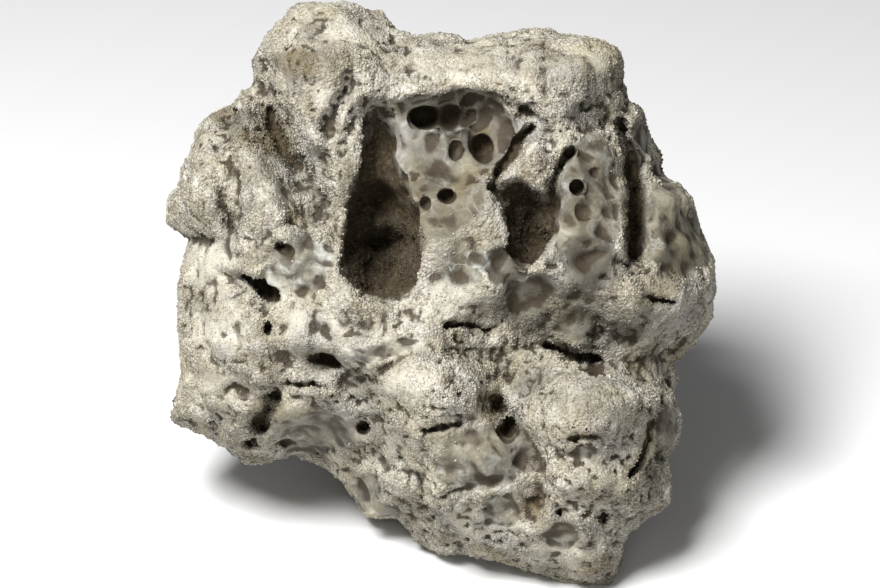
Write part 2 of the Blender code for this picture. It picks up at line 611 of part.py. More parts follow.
def hollow_borings(hollow):
    """The borings that make a large hollow, with sizes between those of its stations."""
    row = []
    for start, end in zip(hollow.stations, hollow.stations[1:]):
        for share in np.linspace(0.0, 1.0, HOLLOW_STEPS, endpoint=False):
            u, v, width, depth = (a + (b - a) * share for a, b in zip(start, end))
            row.append(Boring((u, v), (width, width), depth))
    u, v, width, depth = hollow.stations[-1]
    return row + [Boring((u, v), (width, width), depth)]


def new_object(name, points, faces):
    mesh = bpy.data.meshes.new(name)
    mesh.from_pydata(points.tolist(), [], faces.tolist())
    mesh.validate()
    thing = bpy.data.objects.new(name, mesh)
    bpy.context.scene.collection.objects.link(thing)
    return thing


def make_cutter(name):
    """All hollows, borings and slots as one closed body, joined by a remesh."""
    directions, faces = sphere_directions(CUTTER_SUBDIVISIONS)
    borings = [boring for slot in FACE_SLOTS for boring in slot_borings(slot)]
    borings += [boring for hollow in FACE_HOLLOWS for boring in hollow_borings(hollow)]
    borings += FACE_BORINGS
    work = [(boring, FRONT_THICKNESS, face_relief) for boring in borings]
    work += [(boring, -BACK_THICKNESS, back_relief) for boring in BACK_BORINGS]
    all_points, all_faces = [], []
    for boring, thickness, relief_at in work:
        all_faces.append(faces + len(directions) * len(all_points))
        all_points.append(cutter_points(boring, directions, thickness, relief_at))
    cutter = new_object(name, to_world(np.concatenate(all_points)), np.concatenate(all_faces))
    remesh(cutter, "one skin", CUTTER_VOXEL)
    hide_helper(cutter)
    return cutter


def hide_helper(thing):
    thing.hide_render = True
    thing.display_type = "WIRE"


def make_ground_block(name):
    """The block under the ground plane, which cuts the underside flat."""
    mesh = bmesh.new()
    bmesh.ops.create_cube(mesh, size=1.0)
    bmesh.ops.scale(mesh, vec=(0.4, 0.4, GROUND_SINK * MM), verts=mesh.verts)
    bmesh.ops.translate(mesh, vec=(0, 0, -GROUND_SINK * MM / 2), verts=mesh.verts)
    data = bpy.data.meshes.new(name)
    mesh.to_mesh(data)
    mesh.free()
    block = bpy.data.objects.new(name, data)
    bpy.context.scene.collection.objects.link(block)
    hide_helper(block)
    return block


def triangle_count(thing):
    evaluated = thing.evaluated_get(bpy.context.evaluated_depsgraph_get())
    mesh = evaluated.to_mesh()
    mesh.calc_loop_triangles()
    count = len(mesh.loop_triangles)
    evaluated.to_mesh_clear()
    return count


def remesh(thing, name, voxel):
    even = thing.modifiers.new(name, "REMESH")
    even.mode = "VOXEL"
    even.voxel_size = voxel * MM


def cut_away(thing, name, cutter):
    cut = thing.modifiers.new(name, "BOOLEAN")
    cut.operation = "DIFFERENCE"
    cut.solver = "EXACT"
    cut.object = cutter
    return cut


def make_rock():
    directions, faces = sphere_directions(PEBBLE_SUBDIVISIONS)
    rock = new_object("rock", to_world(stone_points(directions)), faces)
    remesh(rock, "one skin", STONE_VOXEL)
    cut_away(rock, "hollows", make_cutter("hollow_cutter"))
    remesh(rock, "even faces", STONE_VOXEL)
    thin = rock.modifiers.new("fewer faces", "DECIMATE")
    thin.ratio = MOST_TRIANGLES / triangle_count(rock)
    thin.use_collapse_triangulate = True
    cut_away(rock, "flat underside", make_ground_block("ground_block"))
    return rock


def stone_material():
    material = bpy.data.materials.new("stone")
    material.use_nodes = True
    shader = material.node_tree.nodes["Principled BSDF"]
    shader.inputs["Base Color"].default_value = STONE_COLOUR
    shader.inputs["Roughness"].default_value = STONE_ROUGHNESS
    shader.inputs["Metallic"].default_value = 0.0
    return material


def main():
    for thing in list(bpy.data.objects):
        bpy.data.objects.remove(thing)
    rock = make_rock()
    rock.data.materials.append(stone_material())
    rock.data.shade_smooth()


main()
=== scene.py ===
"""An aquascaping rock worn by the weather: bored grey limestone under a gritty crust, with its studio stage.

The stone is laid out in millimetres on a face plane that leans back from upright by FACE_TILT. On it
u runs to the right, v runs up the face and w comes out of it. A pebble of the stone's outline gets
its swells, ledges and grooves, then hollows and borings are cut, and the crust's relief is raised.
"""

import math
from typing import NamedTuple

import bmesh
import bpy
import numpy as np
from bpy.props import FloatProperty, FloatVectorProperty, IntProperty, PointerProperty
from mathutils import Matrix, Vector


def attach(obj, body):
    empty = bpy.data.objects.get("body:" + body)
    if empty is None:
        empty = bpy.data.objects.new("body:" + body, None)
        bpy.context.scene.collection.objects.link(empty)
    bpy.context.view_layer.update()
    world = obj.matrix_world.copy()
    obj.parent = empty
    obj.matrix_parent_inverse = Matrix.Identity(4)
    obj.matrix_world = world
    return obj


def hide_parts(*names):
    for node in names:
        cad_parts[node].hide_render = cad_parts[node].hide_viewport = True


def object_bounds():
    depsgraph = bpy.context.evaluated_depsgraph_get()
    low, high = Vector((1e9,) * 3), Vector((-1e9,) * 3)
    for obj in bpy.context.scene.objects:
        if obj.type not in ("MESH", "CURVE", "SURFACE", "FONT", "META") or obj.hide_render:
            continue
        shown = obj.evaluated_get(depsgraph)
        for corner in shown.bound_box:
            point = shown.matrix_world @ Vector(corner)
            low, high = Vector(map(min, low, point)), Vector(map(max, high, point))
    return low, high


bl_info = {
    "name": "Aquascaping Rock",
    "version": (1, 0, 0),
    "blender": (4, 5, 0),
    "location": "3D View > Sidebar > Rock",
    "description": "Builds a bored limestone rock with a gritty crust, and its studio stage",
    "category": "Add Mesh",
}

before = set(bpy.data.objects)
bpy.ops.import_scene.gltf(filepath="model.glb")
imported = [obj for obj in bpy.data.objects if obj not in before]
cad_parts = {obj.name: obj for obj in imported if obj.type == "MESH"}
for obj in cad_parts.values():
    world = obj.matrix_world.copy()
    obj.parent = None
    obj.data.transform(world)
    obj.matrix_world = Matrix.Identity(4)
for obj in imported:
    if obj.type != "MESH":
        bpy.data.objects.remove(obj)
CAD_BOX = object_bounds()
MM = 0.001

# Shape, in millimetres
FACE_TILT = math.radians(25)
FACE_HEIGHT = 71.6
BOX_MIDDLE = (-0.4, -6.15)
FRONT_THICKNESS = 40.0
BACK_THICKNESS = 60.0
FRONT_ROUNDNESS = 3.2
BACK_ROUNDNESS = 2.4
OUTLINE_DETAIL_DEPTH = 12.0
CRUST_WAVER = 0.7
LUMP_SIZE = 13.0
RIM_FULLNESS = 2.0
OUTLINE_SLACK = 0.5
OUTLINE_STEPS = 60
OUTLINE_BUMPS = 9
SHEER_REACH = 16
GROOVE_STEEPNESS = 1.4
WIDEST_SHARE = 0.98
EYE_DISTANCE = 1369.0
WAVER_SIZE = 3.5
FLANK_SIZE = 30.0
FLANK_HEIGHT = 3.4
FLAT_OUTWARD = 0.7
FOOT_ROUNDING = 16.0
FOOT_DRAW = 0.4
FOOT_MIDDLE = (-4.0, -52.0, -56.0)
CUTTER_BUMPS = ((7.0, 0.2, 31), (3.5, 0.12, 32))
SLOT_UNEVENNESS = 0.3
SLOT_BUMPS = 4.0
SLOT_SPACING = 0.8
MOUTH_TAPER = 0.25
HOLLOW_STEPS = 4

# Resolution
PEBBLE_SUBDIVISIONS = 7
CUTTER_SUBDIVISIONS = 3
CUTTER_VOXEL = 0.7
STONE_VOXEL = 0.85
STONE_TRIANGLES = 196000
GRAINS_A_PIECE = 24900
GRAIN_SEED = 101

# The crust's knobs and pits, and the dishes and waves of the bare stone, in millimetres
KNOB_SIZE = 3.4
SMALL_KNOB_SIZE = 1.8
SMALL_KNOBS = 0.6
KNOB_LEVEL = 0.45
PIT_SIZE = 1.9
DISH_SIZE = 9.0
WAVE_SIZE = 5.0
WAVE_HEIGHT = 0.4
CRUST_SUNK = 0.7
FINE_CALM = 0.6
RIDGE_SHARE = 0.24
LEAST_BARE = 0.2
BACK_LOSS_SIZE = 26.0

# Where a value starts to rise from 0, and the run over which it reaches 1
PIT_EDGE = (0.26, 0.3)
FRONT_RISE = (0.0, 0.15)
BACK_RISE = (0.0, 0.25)
FLANK_RISE = (0.05, 0.3)
RIM_BAND = (0.0, 0.4)
HOLLOW_SHADE_RISE = (1.8, 10.0)
RIM_RISE = (0.05, 0.1)
BACK_LOSS = (0.34, 0.2)
FACING_UP_RISE = (-0.55, 1.1)

# Smoothing over the mesh: how many passes and how strong, and how depths become shares
CAVITY_STEPS = 6
CAVITY_GAIN = 1.2
VALLEY_STEPS = 70
VALLEY_NORMAL_STEPS = 8
VALLEY_RANGE = 5.0
SLOPE_STEPS = 14
SMOOTHING = 0.6

# Grains: most of them small, uneven in shape, none near the ground, a few strays on the bare stone
GRAIN_SPREAD = 2.2
GRAIN_SHAPES = (0.7, 1.3)
GROUND_GAP = 0.5
BARE_REACH = 1.1
THINNING = 1.5
THINLY_SET = 0.1
STRAY_GRAINS = 0.002

# Random tables that noise reads, and the half degrees of a full turn
TABLE_SIZE = 4096
TABLE_STRIDES = (73856093, 19349663, 83492791)
HALF_DEGREES = 720

# Sizes in the materials that aren't patterns of their own, in metres
CRUST_GRANULES = 0.00085
CRUST_FRAY = 0.0025
SHADE_PATCHES = 0.003
STONE_VEINS = 0.0055
STONE_DENTS = 0.0014
BUMP_DEPTH = 0.0007

# The crust's colours: how strongly each thing shows, and the band over which gaps turn dark
PALE_PATCHES = 0.5
PALE_COATS = 0.4
FINE_PALENESS = 0.7
FINE_EVENNESS = 0.7
FINE_CLEANNESS = 0.75
DARK_GRANULES = 0.3
LIGHT_GRANULES = 0.25
GAP_CLUSTERS = 0.3
GAP_BAND = (0.55, 0.9)
GAP_DARKNESS = 0.6
SPECK_DARKNESS = 0.8

# Stains, the painted shade of creases, and the gritty painted shade of hollows
STAIN_PATCHES = 0.5
LEAST_STAIN = 0.4
CREASE_BAND = (0.52, 0.9)
CREASE_SHADE = 0.85
HOLLOW_GRIT = 0.55
HOLLOW_SHADE = 0.95

# Painted shade on undersides and in valleys, dark zones that are partly painted shade, and the drifts of
# colour over it
UNDER_PATCHES = 0.8
UNDER_BAND = (0.6, 0.0)
UNDER_SHADE = 0.3
VALLEY_PATCHES = 0.3
VALLEY_BAND = (0.5, 0.78)
VALLEY_SHADE = 0.6
ZONE_SHADE = 0.85
CALCITE_OVER_SHADE = 0.8
MOTTLE_AMOUNT = 0.42

# The bare limestone and its surface
DISH_SHADE = 0.8
FLECK_SHADE = 0.45
RIDGE_WHITE = 0.4
VEIN_WHITE = 0.4
BROKEN_WHITE = 0.45
LEAST_WHITE = 0.4
BARE_BAND = (0.25, 0.7)
CRUST_ROUGHNESS = 0.95
BARE_SMOOTHNESS = 0.25
DENT_HEIGHT = 0.8
BUMP_STRENGTH = 0.9

# Grains: the band of their shades that is paler or darker than the crust, and by how much
PALE_GRAIN_BAND = (0.5, 1.0)
PALE_GRAINS = 0.5
DARK_GRAIN_BAND = (0.4, 0.0)
DARK_GRAINS = 0.7

# Stage: places in metres, light sizes in metres and the lens in millimetres
KEY_PLACE = (-0.35, -0.6, 0.95)
KEY_SIZE = 0.4
FILL_PLACE = (0.1, -1.2, 0.3)
FILL_SIZE = 0.8
LIGHT_AIM = (0.0, 0.0, 0.07)
LENS = 200.0
SENSOR = 36.0
FURTHEST = 50.0

# The stone's outline on the face plane, clockwise from the top left
OUTLINE = (
    (-43, 76.5), (-41.5, 79), (-39, 80), (-33, 80), (-28, 80.2), (-25, 81), (-22.5, 81), (-21, 79.2),
    (-18, 78.8), (-16, 77.8), (-15.2, 76.5), (-15.8, 73.2), (-8, 73.2), (-4, 72.8), (-1, 73.3), (2, 73),
    (4.5, 71.8), (6.3, 70.1), (9, 70.2), (13, 71.3), (21, 72.8), (24, 73.4), (30.2, 73.4), (33, 72),
    (41, 71), (45, 70.2), (47.5, 69), (49.5, 66.5), (50.3, 64), (49.8, 60), (49.3, 58.5), (50.7, 57),
    (51.3, 52.9), (55, 52.2), (56, 49.5), (57.2, 44.5), (60, 40.3), (60.7, 37.5), (60.5, 34),
    (66, 31), (69.8, 27), (71.2, 21), (73.5, 14.5), (75.9, 9.5), (75.9, 3), (75, -6), (73.5, -9.5),
    (71, -12.5), (66, -17.2), (65, -17.7), (63.5, -17.2), (63.2, -19), (65, -20.8), (65.7, -23),
    (64.2, -28), (65.6, -31.5), (66.6, -33.5), (66.7, -38), (65, -42.8), (63, -44.8), (62.9, -46.5),
    (64, -54.5), (63.4, -57.5), (62, -59.3), (57, -62), (54.5, -64.3), (52.3, -65.3), (50.3, -69),
    (49.6, -75), (48.5, -78.5), (47.2, -81.2), (45, -81.3), (41, -81), (36, -80.2), (30, -78.7),
    (21, -75.3), (17, -73.9), (6, -71.3), (2, -72.3), (-1, -71.3), (-5.5, -68.8), (-7.5, -66.5),
    (-9, -63.5), (-13, -61.5), (-16.5, -62.2), (-19.5, -61.7), (-21.5, -60.5), (-22.7, -56),
    (-24.3, -55.3), (-26.5, -51.5), (-30, -49), (-33, -46.8), (-40.5, -44), (-44.5, -45), (-52, -47),
    (-54.8, -46.7), (-55.3, -44.8), (-61, -41.3), (-64.5, -39), (-71, -36.2), (-73, -35.8),
    (-74.2, -34.7), (-73.3, -33), (-73.2, -30.5), (-71.8, -25), (-71, -21), (-72.6, -8), (-71.8, -3),
    (-72.5, 1), (-70.6, 9.5), (-69, 15.5), (-70, 17.2), (-72.5, 17.6), (-75.5, 19), (-76.7, 21.5),
    (-76.3, 24), (-74.8, 28.5), (-72.5, 30), (-71, 36), (-68.3, 41), (-68, 43.5), (-66.8, 46),
    (-64.5, 48.8), (-60, 51), (-57.5, 51.9), (-55, 55.5), (-51.5, 57), (-50.8, 61.5), (-52, 63.2),
    (-51.3, 65.5), (-50, 67), (-49.2, 70), (-46, 73), (-44.8, 75),
)

# How far the outline stands in front of the face plane, by angle in degrees anticlockwise from u
RIM_SHEER = (
    (-180, -10), (-145, -20), (-125, -26), (-108, -20), (-90, -10), (-60, 0), (-30, 2), (0, -8),
    (40, -6), (60, -2), (90, 0), (120, 4), (150, -4), (180, -10),
)


class Swell(NamedTuple):
    """A rounded rise, or with a negative rise a dish. An edge of 1 is soft and 0.2 is steep."""

    at: tuple
    reach: tuple
    rise: float
    turn: float = 0.0
    edge: float = 1.0


class Groove(NamedTuple):
    """A crease along a path, or with a negative depth a rib."""

    path: tuple
    width: float
    depth: float


class Ledge(NamedTuple):
    """An edge along a path: the surface to the right of the path drops, then comes back over a run."""

    path: tuple
    drop: float
    fall: float
    run: float


class Boring(NamedTuple):
    """A hole cut into the face: half widths of its mouth, depth, turn, and lean of its axis in u and v."""

    at: tuple
    mouth: tuple
    depth: float
    turn: float = 0.0
    lean: tuple = (0.0, 0.0)


class Slot(NamedTuple):
    """A cut along a path on the face, with a half width and a depth."""

    path: tuple
    width: float
    depth: float


class Hollow(NamedTuple):
    """A large hollow, by stations along its middle: u, v, half width and depth."""

    stations: tuple


class Patch(NamedTuple):
    """A patch of a finish, with its edge's softness and how strong it is."""

    at: tuple
    reach: tuple
    turn: float = 0.0
    edge: float = 0.5
    amount: float = 1.0


class Drift(NamedTuple):
    """Patches of noise about size wide: the noise times the gain, lifted by a level."""

    size: float
    gain: float
    level: float
    seed: int


class Pattern(NamedTuple):
    """Noise in a material, about size metres wide: 0 up to low and 1 from high on."""

    size: float
    low: float
    high: float
    detail: float = 4.0
    roughness: float = 0.6


FACE_SWELLS = (
    # cap with its prong, its right end and the shoulder
    Swell((-34, 67), (24, 17), 8.0),
    Swell((-36, 55), (8, 16), 3.0, 25),
    Swell((-25, 77), (6, 4), 1.6),
    Swell((-18, 76), (4, 3.5), 1.2),
    Swell((42, 64), (14, 12), 6.0),
    Swell((18, 64), (28, 9), 3.0),
    Swell((42, 50.5), (7, 5.4), -4.0, 0, 0.35),
    # left bulge and its lower lobe
    Swell((-66, 31), (13, 17), 6.0),
    Swell((-48, 24), (11, 13), 5.0, -20),
    Swell((-64, 10), (11, 9), 3.0),
    Swell((-55, 54), (6, 5), 2.0),
    Swell((-58.5, 49.3), (3.6, 3.2), -6.0, 15, 0.4),
    Swell((-47, 48), (8, 13), -4.0, 15, 0.9),
    Swell((-38.5, 34.5), (4.5, 8), -5.0, 0, 0.7),
    Swell((-51.5, 41), (4.5, 3.2), -3.0),
    Swell((-64, 40), (2, 2.4), -2.2),
    Swell((-59, 19), (1.7, 1.6), -2.0),
    Swell((-55, 22), (1.4, 1.4), -2.5),
    Swell((-44, 16), (5.2, 4.0), 2.2),
    Swell((-45, 13.5), (1.5, 1.6), -2.5),
    Swell((-38, 8), (8.5, 8), 2.6, 0, 0.6),
    # septum between the two hollows, set back under the cap
    Swell((2, 42), (25, 17), -8.0, 0, 0.5),
    Swell((15, 45), (9, 11), -6.0, 0, 0.6),
    Swell((-17.5, 43), (10, 17), -7.0),
    Swell((-29, 22), (11, 24), -7.0, 6),
    Swell((8, 20), (14, 18), 2.5),
    Swell((-3, 43), (3.2, 2.6), -1.6),
    Swell((-0.5, 37.5), (2.4, 2), -1.2),
    Swell((18, 43.5), (3.2, 8), -2.6),
    Swell((24.3, 51), (3.6, 3.8), -6.0, 0, 0.5),
    # right column with its dishes
    Swell((42, 22), (11.5, 23), 4.5, 0, 0.8),
    Swell((41, 38), (2.8, 3.6), -2.6),
    Swell((37.5, 35), (1.5, 2), -1.3),
    Swell((40.6, 23), (3.4, 2.6), -3.6, 0, 0.8),
    Swell((42.3, 27.3), (2, 1.6), -1.8),
    Swell((41, 11.3), (7.4, 6.6), -4.6),
    # right lobe, further back, with shallow borings
    Swell((67, 18), (10, 18), -3.0),
    Swell((54.5, 49), (4.5, 5), 2.0),
    Swell((63.5, 21), (1.8, 1.8), -2.2),
    Swell((65.6, 16), (2.2, 3.2), -2.6),
    Swell((70.4, 16), (2.8, 2.4), -3.0),
    Swell((70, 11), (3.0, 2.5), -2.8, -30),
    Swell((65, 9), (2, 1.6), -1.4),
    Swell((62, 7), (3, 2.6), -1.4),
    # facets and block under the right column
    Swell((18.5, 8), (5.5, 4), -2.0, -35, 0.3),
    Swell((25, 0.5), (7.5, 5.5), -2.6, 10, 0.3),
    Swell((10.5, 9.3), (2.2, 2), -1.0, 0, 0.4),
    Swell((37.5, -8), (6.4, 7), 1.6, 0, 0.3),
    Swell((47, -2), (4, 3.2), -2.2),
    Swell((52, -12), (5.5, 4), -3.4),
    # shelf below the main hollow, the lens fold and the lower bulge
    Swell((-10, -18), (32, 13), 7.0),
    Swell((-40, -21), (13, 9), -6.0, 0, 0.8),
    Swell((-14, -17), (14, 3.4), 1.6, 14),
    Swell((-25, -17), (6, 5.5), 2.6, -30, 0.7),
    Swell((-2, -30), (19, 20), 8.0, 0, 0.9),
    Swell((11.5, -22), (2.8, 2.6), 1.6),
    Swell((8, -48), (18, 13), 5.0, 10),
    Swell((14.3, -31), (6.4, 5.4), -7.0, -40, 0.8),
    Swell((18, -34), (5, 9), -7.0, 40, 0.8),
    Swell((24, -25), (13, 14), -8.0),
    Swell((26, -59), (7.5, 7), -6.0, 20, 0.8),
    Swell((14, -61), (2.6, 4.6), -1.8),
    Swell((20, -60), (2, 4.6), -1.8),
    # snout at the lower right, its lower lip and the tip
    Swell((42, -34), (20, 16), 12.0, -8, 0.8),
    Swell((41, -51), (17, 9), 6.0),
    Swell((60, -39), (3.6, 9.5), -5.0, 5),
    Swell((34, -67.5), (5.5, 4.6), -1.6, 20, 0.4),
    Swell((38.5, -58), (2.6, 2.6), -1.4),
    Swell((44, -75), (8, 5), 1.6),
    # lower left: crust shoulder, set back facets, back lip
    Swell((-60, -12), (17, 18), 6.0),
    Swell((-60, -31), (13, 8), 4.0, -20),
    Swell((-36, -40), (15, 9), -6.0, 8, 0.6),
    Swell((-49, -35), (6, 11), -5.0, -25, 0.7),
    Swell((-24, -42), (7, 8), -3.0, 0, 0.6),
    Swell((-18, -51), (13, 12), -4.0, -35, 0.8),
    Swell((-22.7, -31), (2, 1.5), -1.8),
)

FACE_GROOVES = (
    # valleys between the big lumps
    Groove(((16, -22), (18, -30), (20.5, -38), (24.5, -45), (27, -53)), 7.0, 6.0),
    Groove(((-25, -24), (-21, -32), (-18, -38), (-13, -43)), 7.0, 6.0),
    Groove(((-60, 46), (-58.5, 32), (-58, 18)), 4.5, 3.5),
    Groove(((-49, 60), (-47, 50), (-42, 38), (-37, 25)), 9.0, 11.0),
    Groove(((49.5, 48), (52, 42), (54.5, 35), (55.6, 22), (55, 8)), 6.0, 6.0),
    Groove(((-70, -2), (-60, 0), (-51, 0)), 6.0, 2.0),
    Groove(((-12.4, -43), (-9.4, -48), (-5, -51)), 1.8, 3.0),
    # diagonal grooves of the cap's prong
    Groove(((-25, 59), (-28.5, 52.5), (-32.5, 46.5)), 3.6, 4.6),
    Groove(((-24.5, 49), (-27.5, 43), (-27, 38)), 2.4, 3.0),
    Groove(((-43, 58), (-38.5, 51), (-35, 42)), 3.4, -2.2),
    Groove(((-60.5, 28), (-59.4, 22.5), (-59.3, 18)), 1.6, 2.2),
    Groove(((-48.5, 18.5), (-43, 20.3), (-38.5, 18.3), (-36, 14.5), (-38.5, 12.6)), 1.6, 3.4),
    # crack under the cap
    Groove(((6.2, 52.5), (8, 55.8), (12, 56.8), (16.5, 56.3), (22, 54.3)), 1.4, 3.4),
    # outline of the squarish block under the right column
    Groove(((36, -4), (38, -0.4), (41, -1.4), (43.6, -5.4), (43.8, -12.5)), 1.4, 3.0),
    # edge between the facets
    Groove(((12, 7), (14, 3.4), (17.4, 2), (20.5, 3.6), (26, 5.8), (30.6, 10.6)), 1.2, -1.5),
    # fold lines of the shelf
    Groove(((-18, -17), (-14, -15), (-9, -13.6), (-3, -12.6), (0, -11.4)), 1.4, 2.0),
    Groove(((-22.5, -23.7), (-19, -24), (-16, -21.2), (-12, -18.6), (-7.6, -16.6)), 1.6, 3.4),
    Groove(((33, -73), (38, -70.2), (43.4, -69)), 1.4, 2.2),
)

FACE_LEDGES = (
    # the long slope under the right column, which falls back to the cave
    Ledge(((13, 6), (20, 9), (30, 8), (41, 6), (52, 3), (66, -3)), 16.0, 22.0, 6),
    # the slope below the shelf's right end
    Ledge(((3, -10), (12, -13), (22, -13)), 5.0, 8.0, 8),
    # cap over the septum, from the main hollow to the crack and on to the shoulder
    Ledge(((-20, 55.6), (-15, 56.4), (-8, 54.4), (0, 53.6), (6, 53), (8, 56.4)), 4.0, 1.4, 12),
    Ledge(((6, 53), (8, 56.4), (16, 56.8), (24, 54.4), (31, 50)), 5.0, 1.4, 12),
    # cap over the left recess
    Ledge(((-52, 60), (-46, 59), (-41, 52), (-37, 43), (-33, 41)), 5.0, 1.6, 10),
    # overhang under the left block
    Ledge(((-56, 7), (-50.5, 3.4), (-47.6, 0.6), (-46.2, -3.4)), 6.5, 1.2, 8),
    # shelf's left end over its hollow
    Ledge(((-29.4, -9.6), (-28.6, -13), (-29.4, -16.4), (-26.6, -19.6), (-22.4, -23.4)), 6.0, 1.2, 9),
    # brow over the cave, beside the snout
    Ledge(((28, -14), (35, -16.6), (41, -16.8), (45.4, -18.2), (49, -21.6)), 5.0, 1.4, 8),
    # crust edges over the smooth stone below
    Ledge(((-41, -34), (-33, -34.6), (-24, -34.4), (-20, -33)), 3.4, 1.0, 8),
    Ledge(((-58, -24), (-52, -25), (-46, -24), (-40, -25.5), (-34, -28)), 5.0, 1.4, 11),
    Ledge(((-14, -41.5), (-8, -47), (-5, -49.4), (-3, -53), (-2.6, -58), (0, -61), (6, -64.4)), 6.0, 2.0, 14),
    # snout over the lobes behind it
    Ledge(((54, -51), (57, -46.6), (58.6, -40), (58.6, -30), (60, -24)), 7.0, 1.6, 10),
    # left bulge over the lobe under it
    Ledge(((-77, 19.4), (-72, 18), (-66, 18.4), (-60, 16)), 4.0, 1.4, 8),
)

FACE_HOLLOWS = (
    # main hollow, like a drop, and the second one behind the hanging tongue
    Hollow(((-16.2, 8.8, 13.4, 36), (-16.5, 15, 14.2, 40), (-16.8, 22, 12.6, 36), (-17.8, 30, 8.8, 26),
            (-18.0, 38, 6.2, 16), (-16.8, 49, 5.4, 8))),
    Hollow(((25.2, 10.5, 4.2, 16), (25.4, 15.5, 8.0, 26), (24.6, 22, 8.4, 24), (21.6, 27, 6.4, 16))),
    # long slot beside the right column
    Hollow(((50.8, 47.5, 2.6, 12), (52.2, 42, 2.8, 12), (53.8, 36, 3.0, 13), (54.8, 29, 3.4, 15),
            (54.8, 20, 3.4, 15), (54.2, 11, 3.0, 13))),
    # left recess under the cap
    Hollow(((-47.4, 51, 2.4, 7), (-46.6, 47, 3.6, 10), (-44.6, 42, 3.2, 9), (-40.4, 36, 3.4, 9))),
)

FACE_BORINGS = (
    # slot of two holes and single holes of the septum
    Boring((-4.4, 49.6), (5.2, 3.8), 13),
    Boring((2.8, 49.4), (4.4, 3.8), 9),
    Boring((4.4, 40), (2.0, 3.5), 7, -12),
    Boring((12, 41), (3.8, 5.2), 10, 8),
    Boring((1.8, 27.5), (2.8, 2.5), 9),
    # right column
    Boring((38.5, 30), (2.3, 2.3), 9),
    Boring((44, 34), (2.2, 1.6), 6),
    # cave under the brow
    Boring((42.5, -20), (6.4, 3.4), 15, -24, (0.0, 0.25)),
    # left side
    Boring((-48, -9.7), (2.3, 2.9), 11),
    Boring((-32, -19.4), (6.2, 3.2), 11, -24, (0.0, 0.2)),
    Boring((-46.4, -29.6), (4.0, 3.6), 11, 30, (0.0, 0.3)),
    # lower middle and lower right
    Boring((19.6, -37), (3.0, 3.4), 12, -30, (0.0, 0.2)),
    Boring((-21, -37), (2.8, 2.8), 8),
    Boring((33.6, -60.8), (2.9, 3.0), 10),
    Boring((46, -62.5), (2.8, 3.2), 9),
    Boring((61.5, -29), (2.6, 1.9), 7),
)

FACE_SLOTS = (
    # crescent and slot beside the hanging tongue
    Slot(((25.5, 46.6), (21.6, 42.2), (19, 37.5), (15.8, 33.5), (14.9, 30.3), (16.4, 26.8)), 2.2, 13),
    Slot(((36.2, 40), (33.4, 36.6), (31.6, 31.5), (31.4, 24)), 1.7, 11),
    Slot(((58, -0.6), (60.6, -1.8), (65, -2.4)), 1.7, 8),
    # slit that runs into the cave
    Slot(((29.4, -14.4), (34, -15.8), (39, -18)), 2.2, 11),
    # slot under the left block
    Slot(((-55, 4.8), (-51, 2.4), (-47.6, -1.0)), 2.4, 10),
    # slit over the shelf, slits of the snout and the lower bulge
    Slot(((1.4, -9.2), (4.4, -8.6), (9.2, -8.8), (12, -10), (14, -11)), 1.6, 7),
    Slot(((36.6, -40.6), (40, -39.8), (46, -40)), 1.6, 7),
    Slot(((-4.6, -38.4), (-1, -37.4), (5.6, -36.4)), 1.6, 7),
    Slot(((58.6, -32), (58.6, -40), (56, -46.6), (53.4, -50.4)), 1.8, 8),
    # overhung slots and the diagonal recess at the lower left
    Slot(((-43, -24.6), (-39, -25.6), (-35, -25.2), (-31.6, -26.6)), 1.7, 8),
    Slot(((-45.8, -28.4), (-48, -32), (-51, -36.8), (-53.6, -41)), 3.3, 10),
)

# The back, seen from behind: u runs to the right there, so it is turned round against the face's
BACK_SWELLS = (
    Swell((-30, 30), (26, 22), 7.0, 20),
    Swell((34, 44), (24, 18), 6.0, -15),
    Swell((18, -8), (26, 20), 8.0, 10),
    Swell((-40, -20), (22, 18), 6.0, -20),
    Swell((-4, 56), (18, 10), -5.0, 5, 0.7),
    Swell((-8, 12), (13, 16), -9.0, -25, 0.6),
    Swell((50, 10), (9, 14), -6.0, 15, 0.6),
    Swell((-60, 6), (7, 10), -5.0, 0, 0.7),
    Swell((40, -34), (12, 8), -5.0, 20, 0.6),
    Swell((-14, -34), (14, 7), -6.0, -10, 0.5),
    Swell((8, 33), (6, 5), -3.0, 0, 0.6),
)

BACK_GROOVES = (
    Groove(((-52, 34), (-38, 26), (-26, 8), (-22, -8)), 2.6, 4.0),
    Groove(((10, 62), (18, 48), (16, 34), (24, 22), (40, 16)), 2.2, 4.0),
    Groove(((-8, -14), (4, -22), (20, -26), (36, -22)), 2.2, 4.0),
    Groove(((-66, -16), (-54, -10), (-44, -12)), 1.8, 3.0),
)

BACK_LEDGES = (
    Ledge(((-58, 20), (-40, 14), (-24, 18), (-12, 30)), 4.6, 1.6, 12),
    Ledge(((-6, 2), (8, 8), (24, 4), (38, 8), (54, 0)), 5.0, 1.6, 14),
    Ledge(((-50, -34), (-32, -30), (-16, -26), (0, -32)), 4.0, 1.6, 10),
)

BACK_BORINGS = (
    Boring((-10, 13), (6.0, 9.0), 18, -25),
    Boring((33, 30), (4.4, 3.4), 12, 10),
    Boring((-46, 42), (3.4, 2.6), 9),
    Boring((52, 12), (3.6, 5.4), 12, 15),
    Boring((-30, -4), (2.8, 2.8), 9),
    Boring((12, -16), (3.2, 2.4), 9, -20),
    Boring((-58, -8), (2.6, 3.2), 8),
    Boring((26, 54), (2.8, 2.4), 8),
    Boring((-14, -34), (7.0, 3.4), 14, -10),
)

# The facets under the right column, and the veins that run round and down from them
FACETS = (
    Patch((18.5, 8), (8, 6), -35, 0.3),
    Patch((25, 0.5), (9.4, 7), 10, 0.3),
    Patch((10.5, 9.5), (3.4, 3.2), 0, 0.3),
)
FACET_RING = ((8.5, 12.4), (8.4, 8.6), (11, 7), (14.2, 9.6), (12.4, 11.8))
FACET_STEM = ((17.4, 2), (18.6, -4))

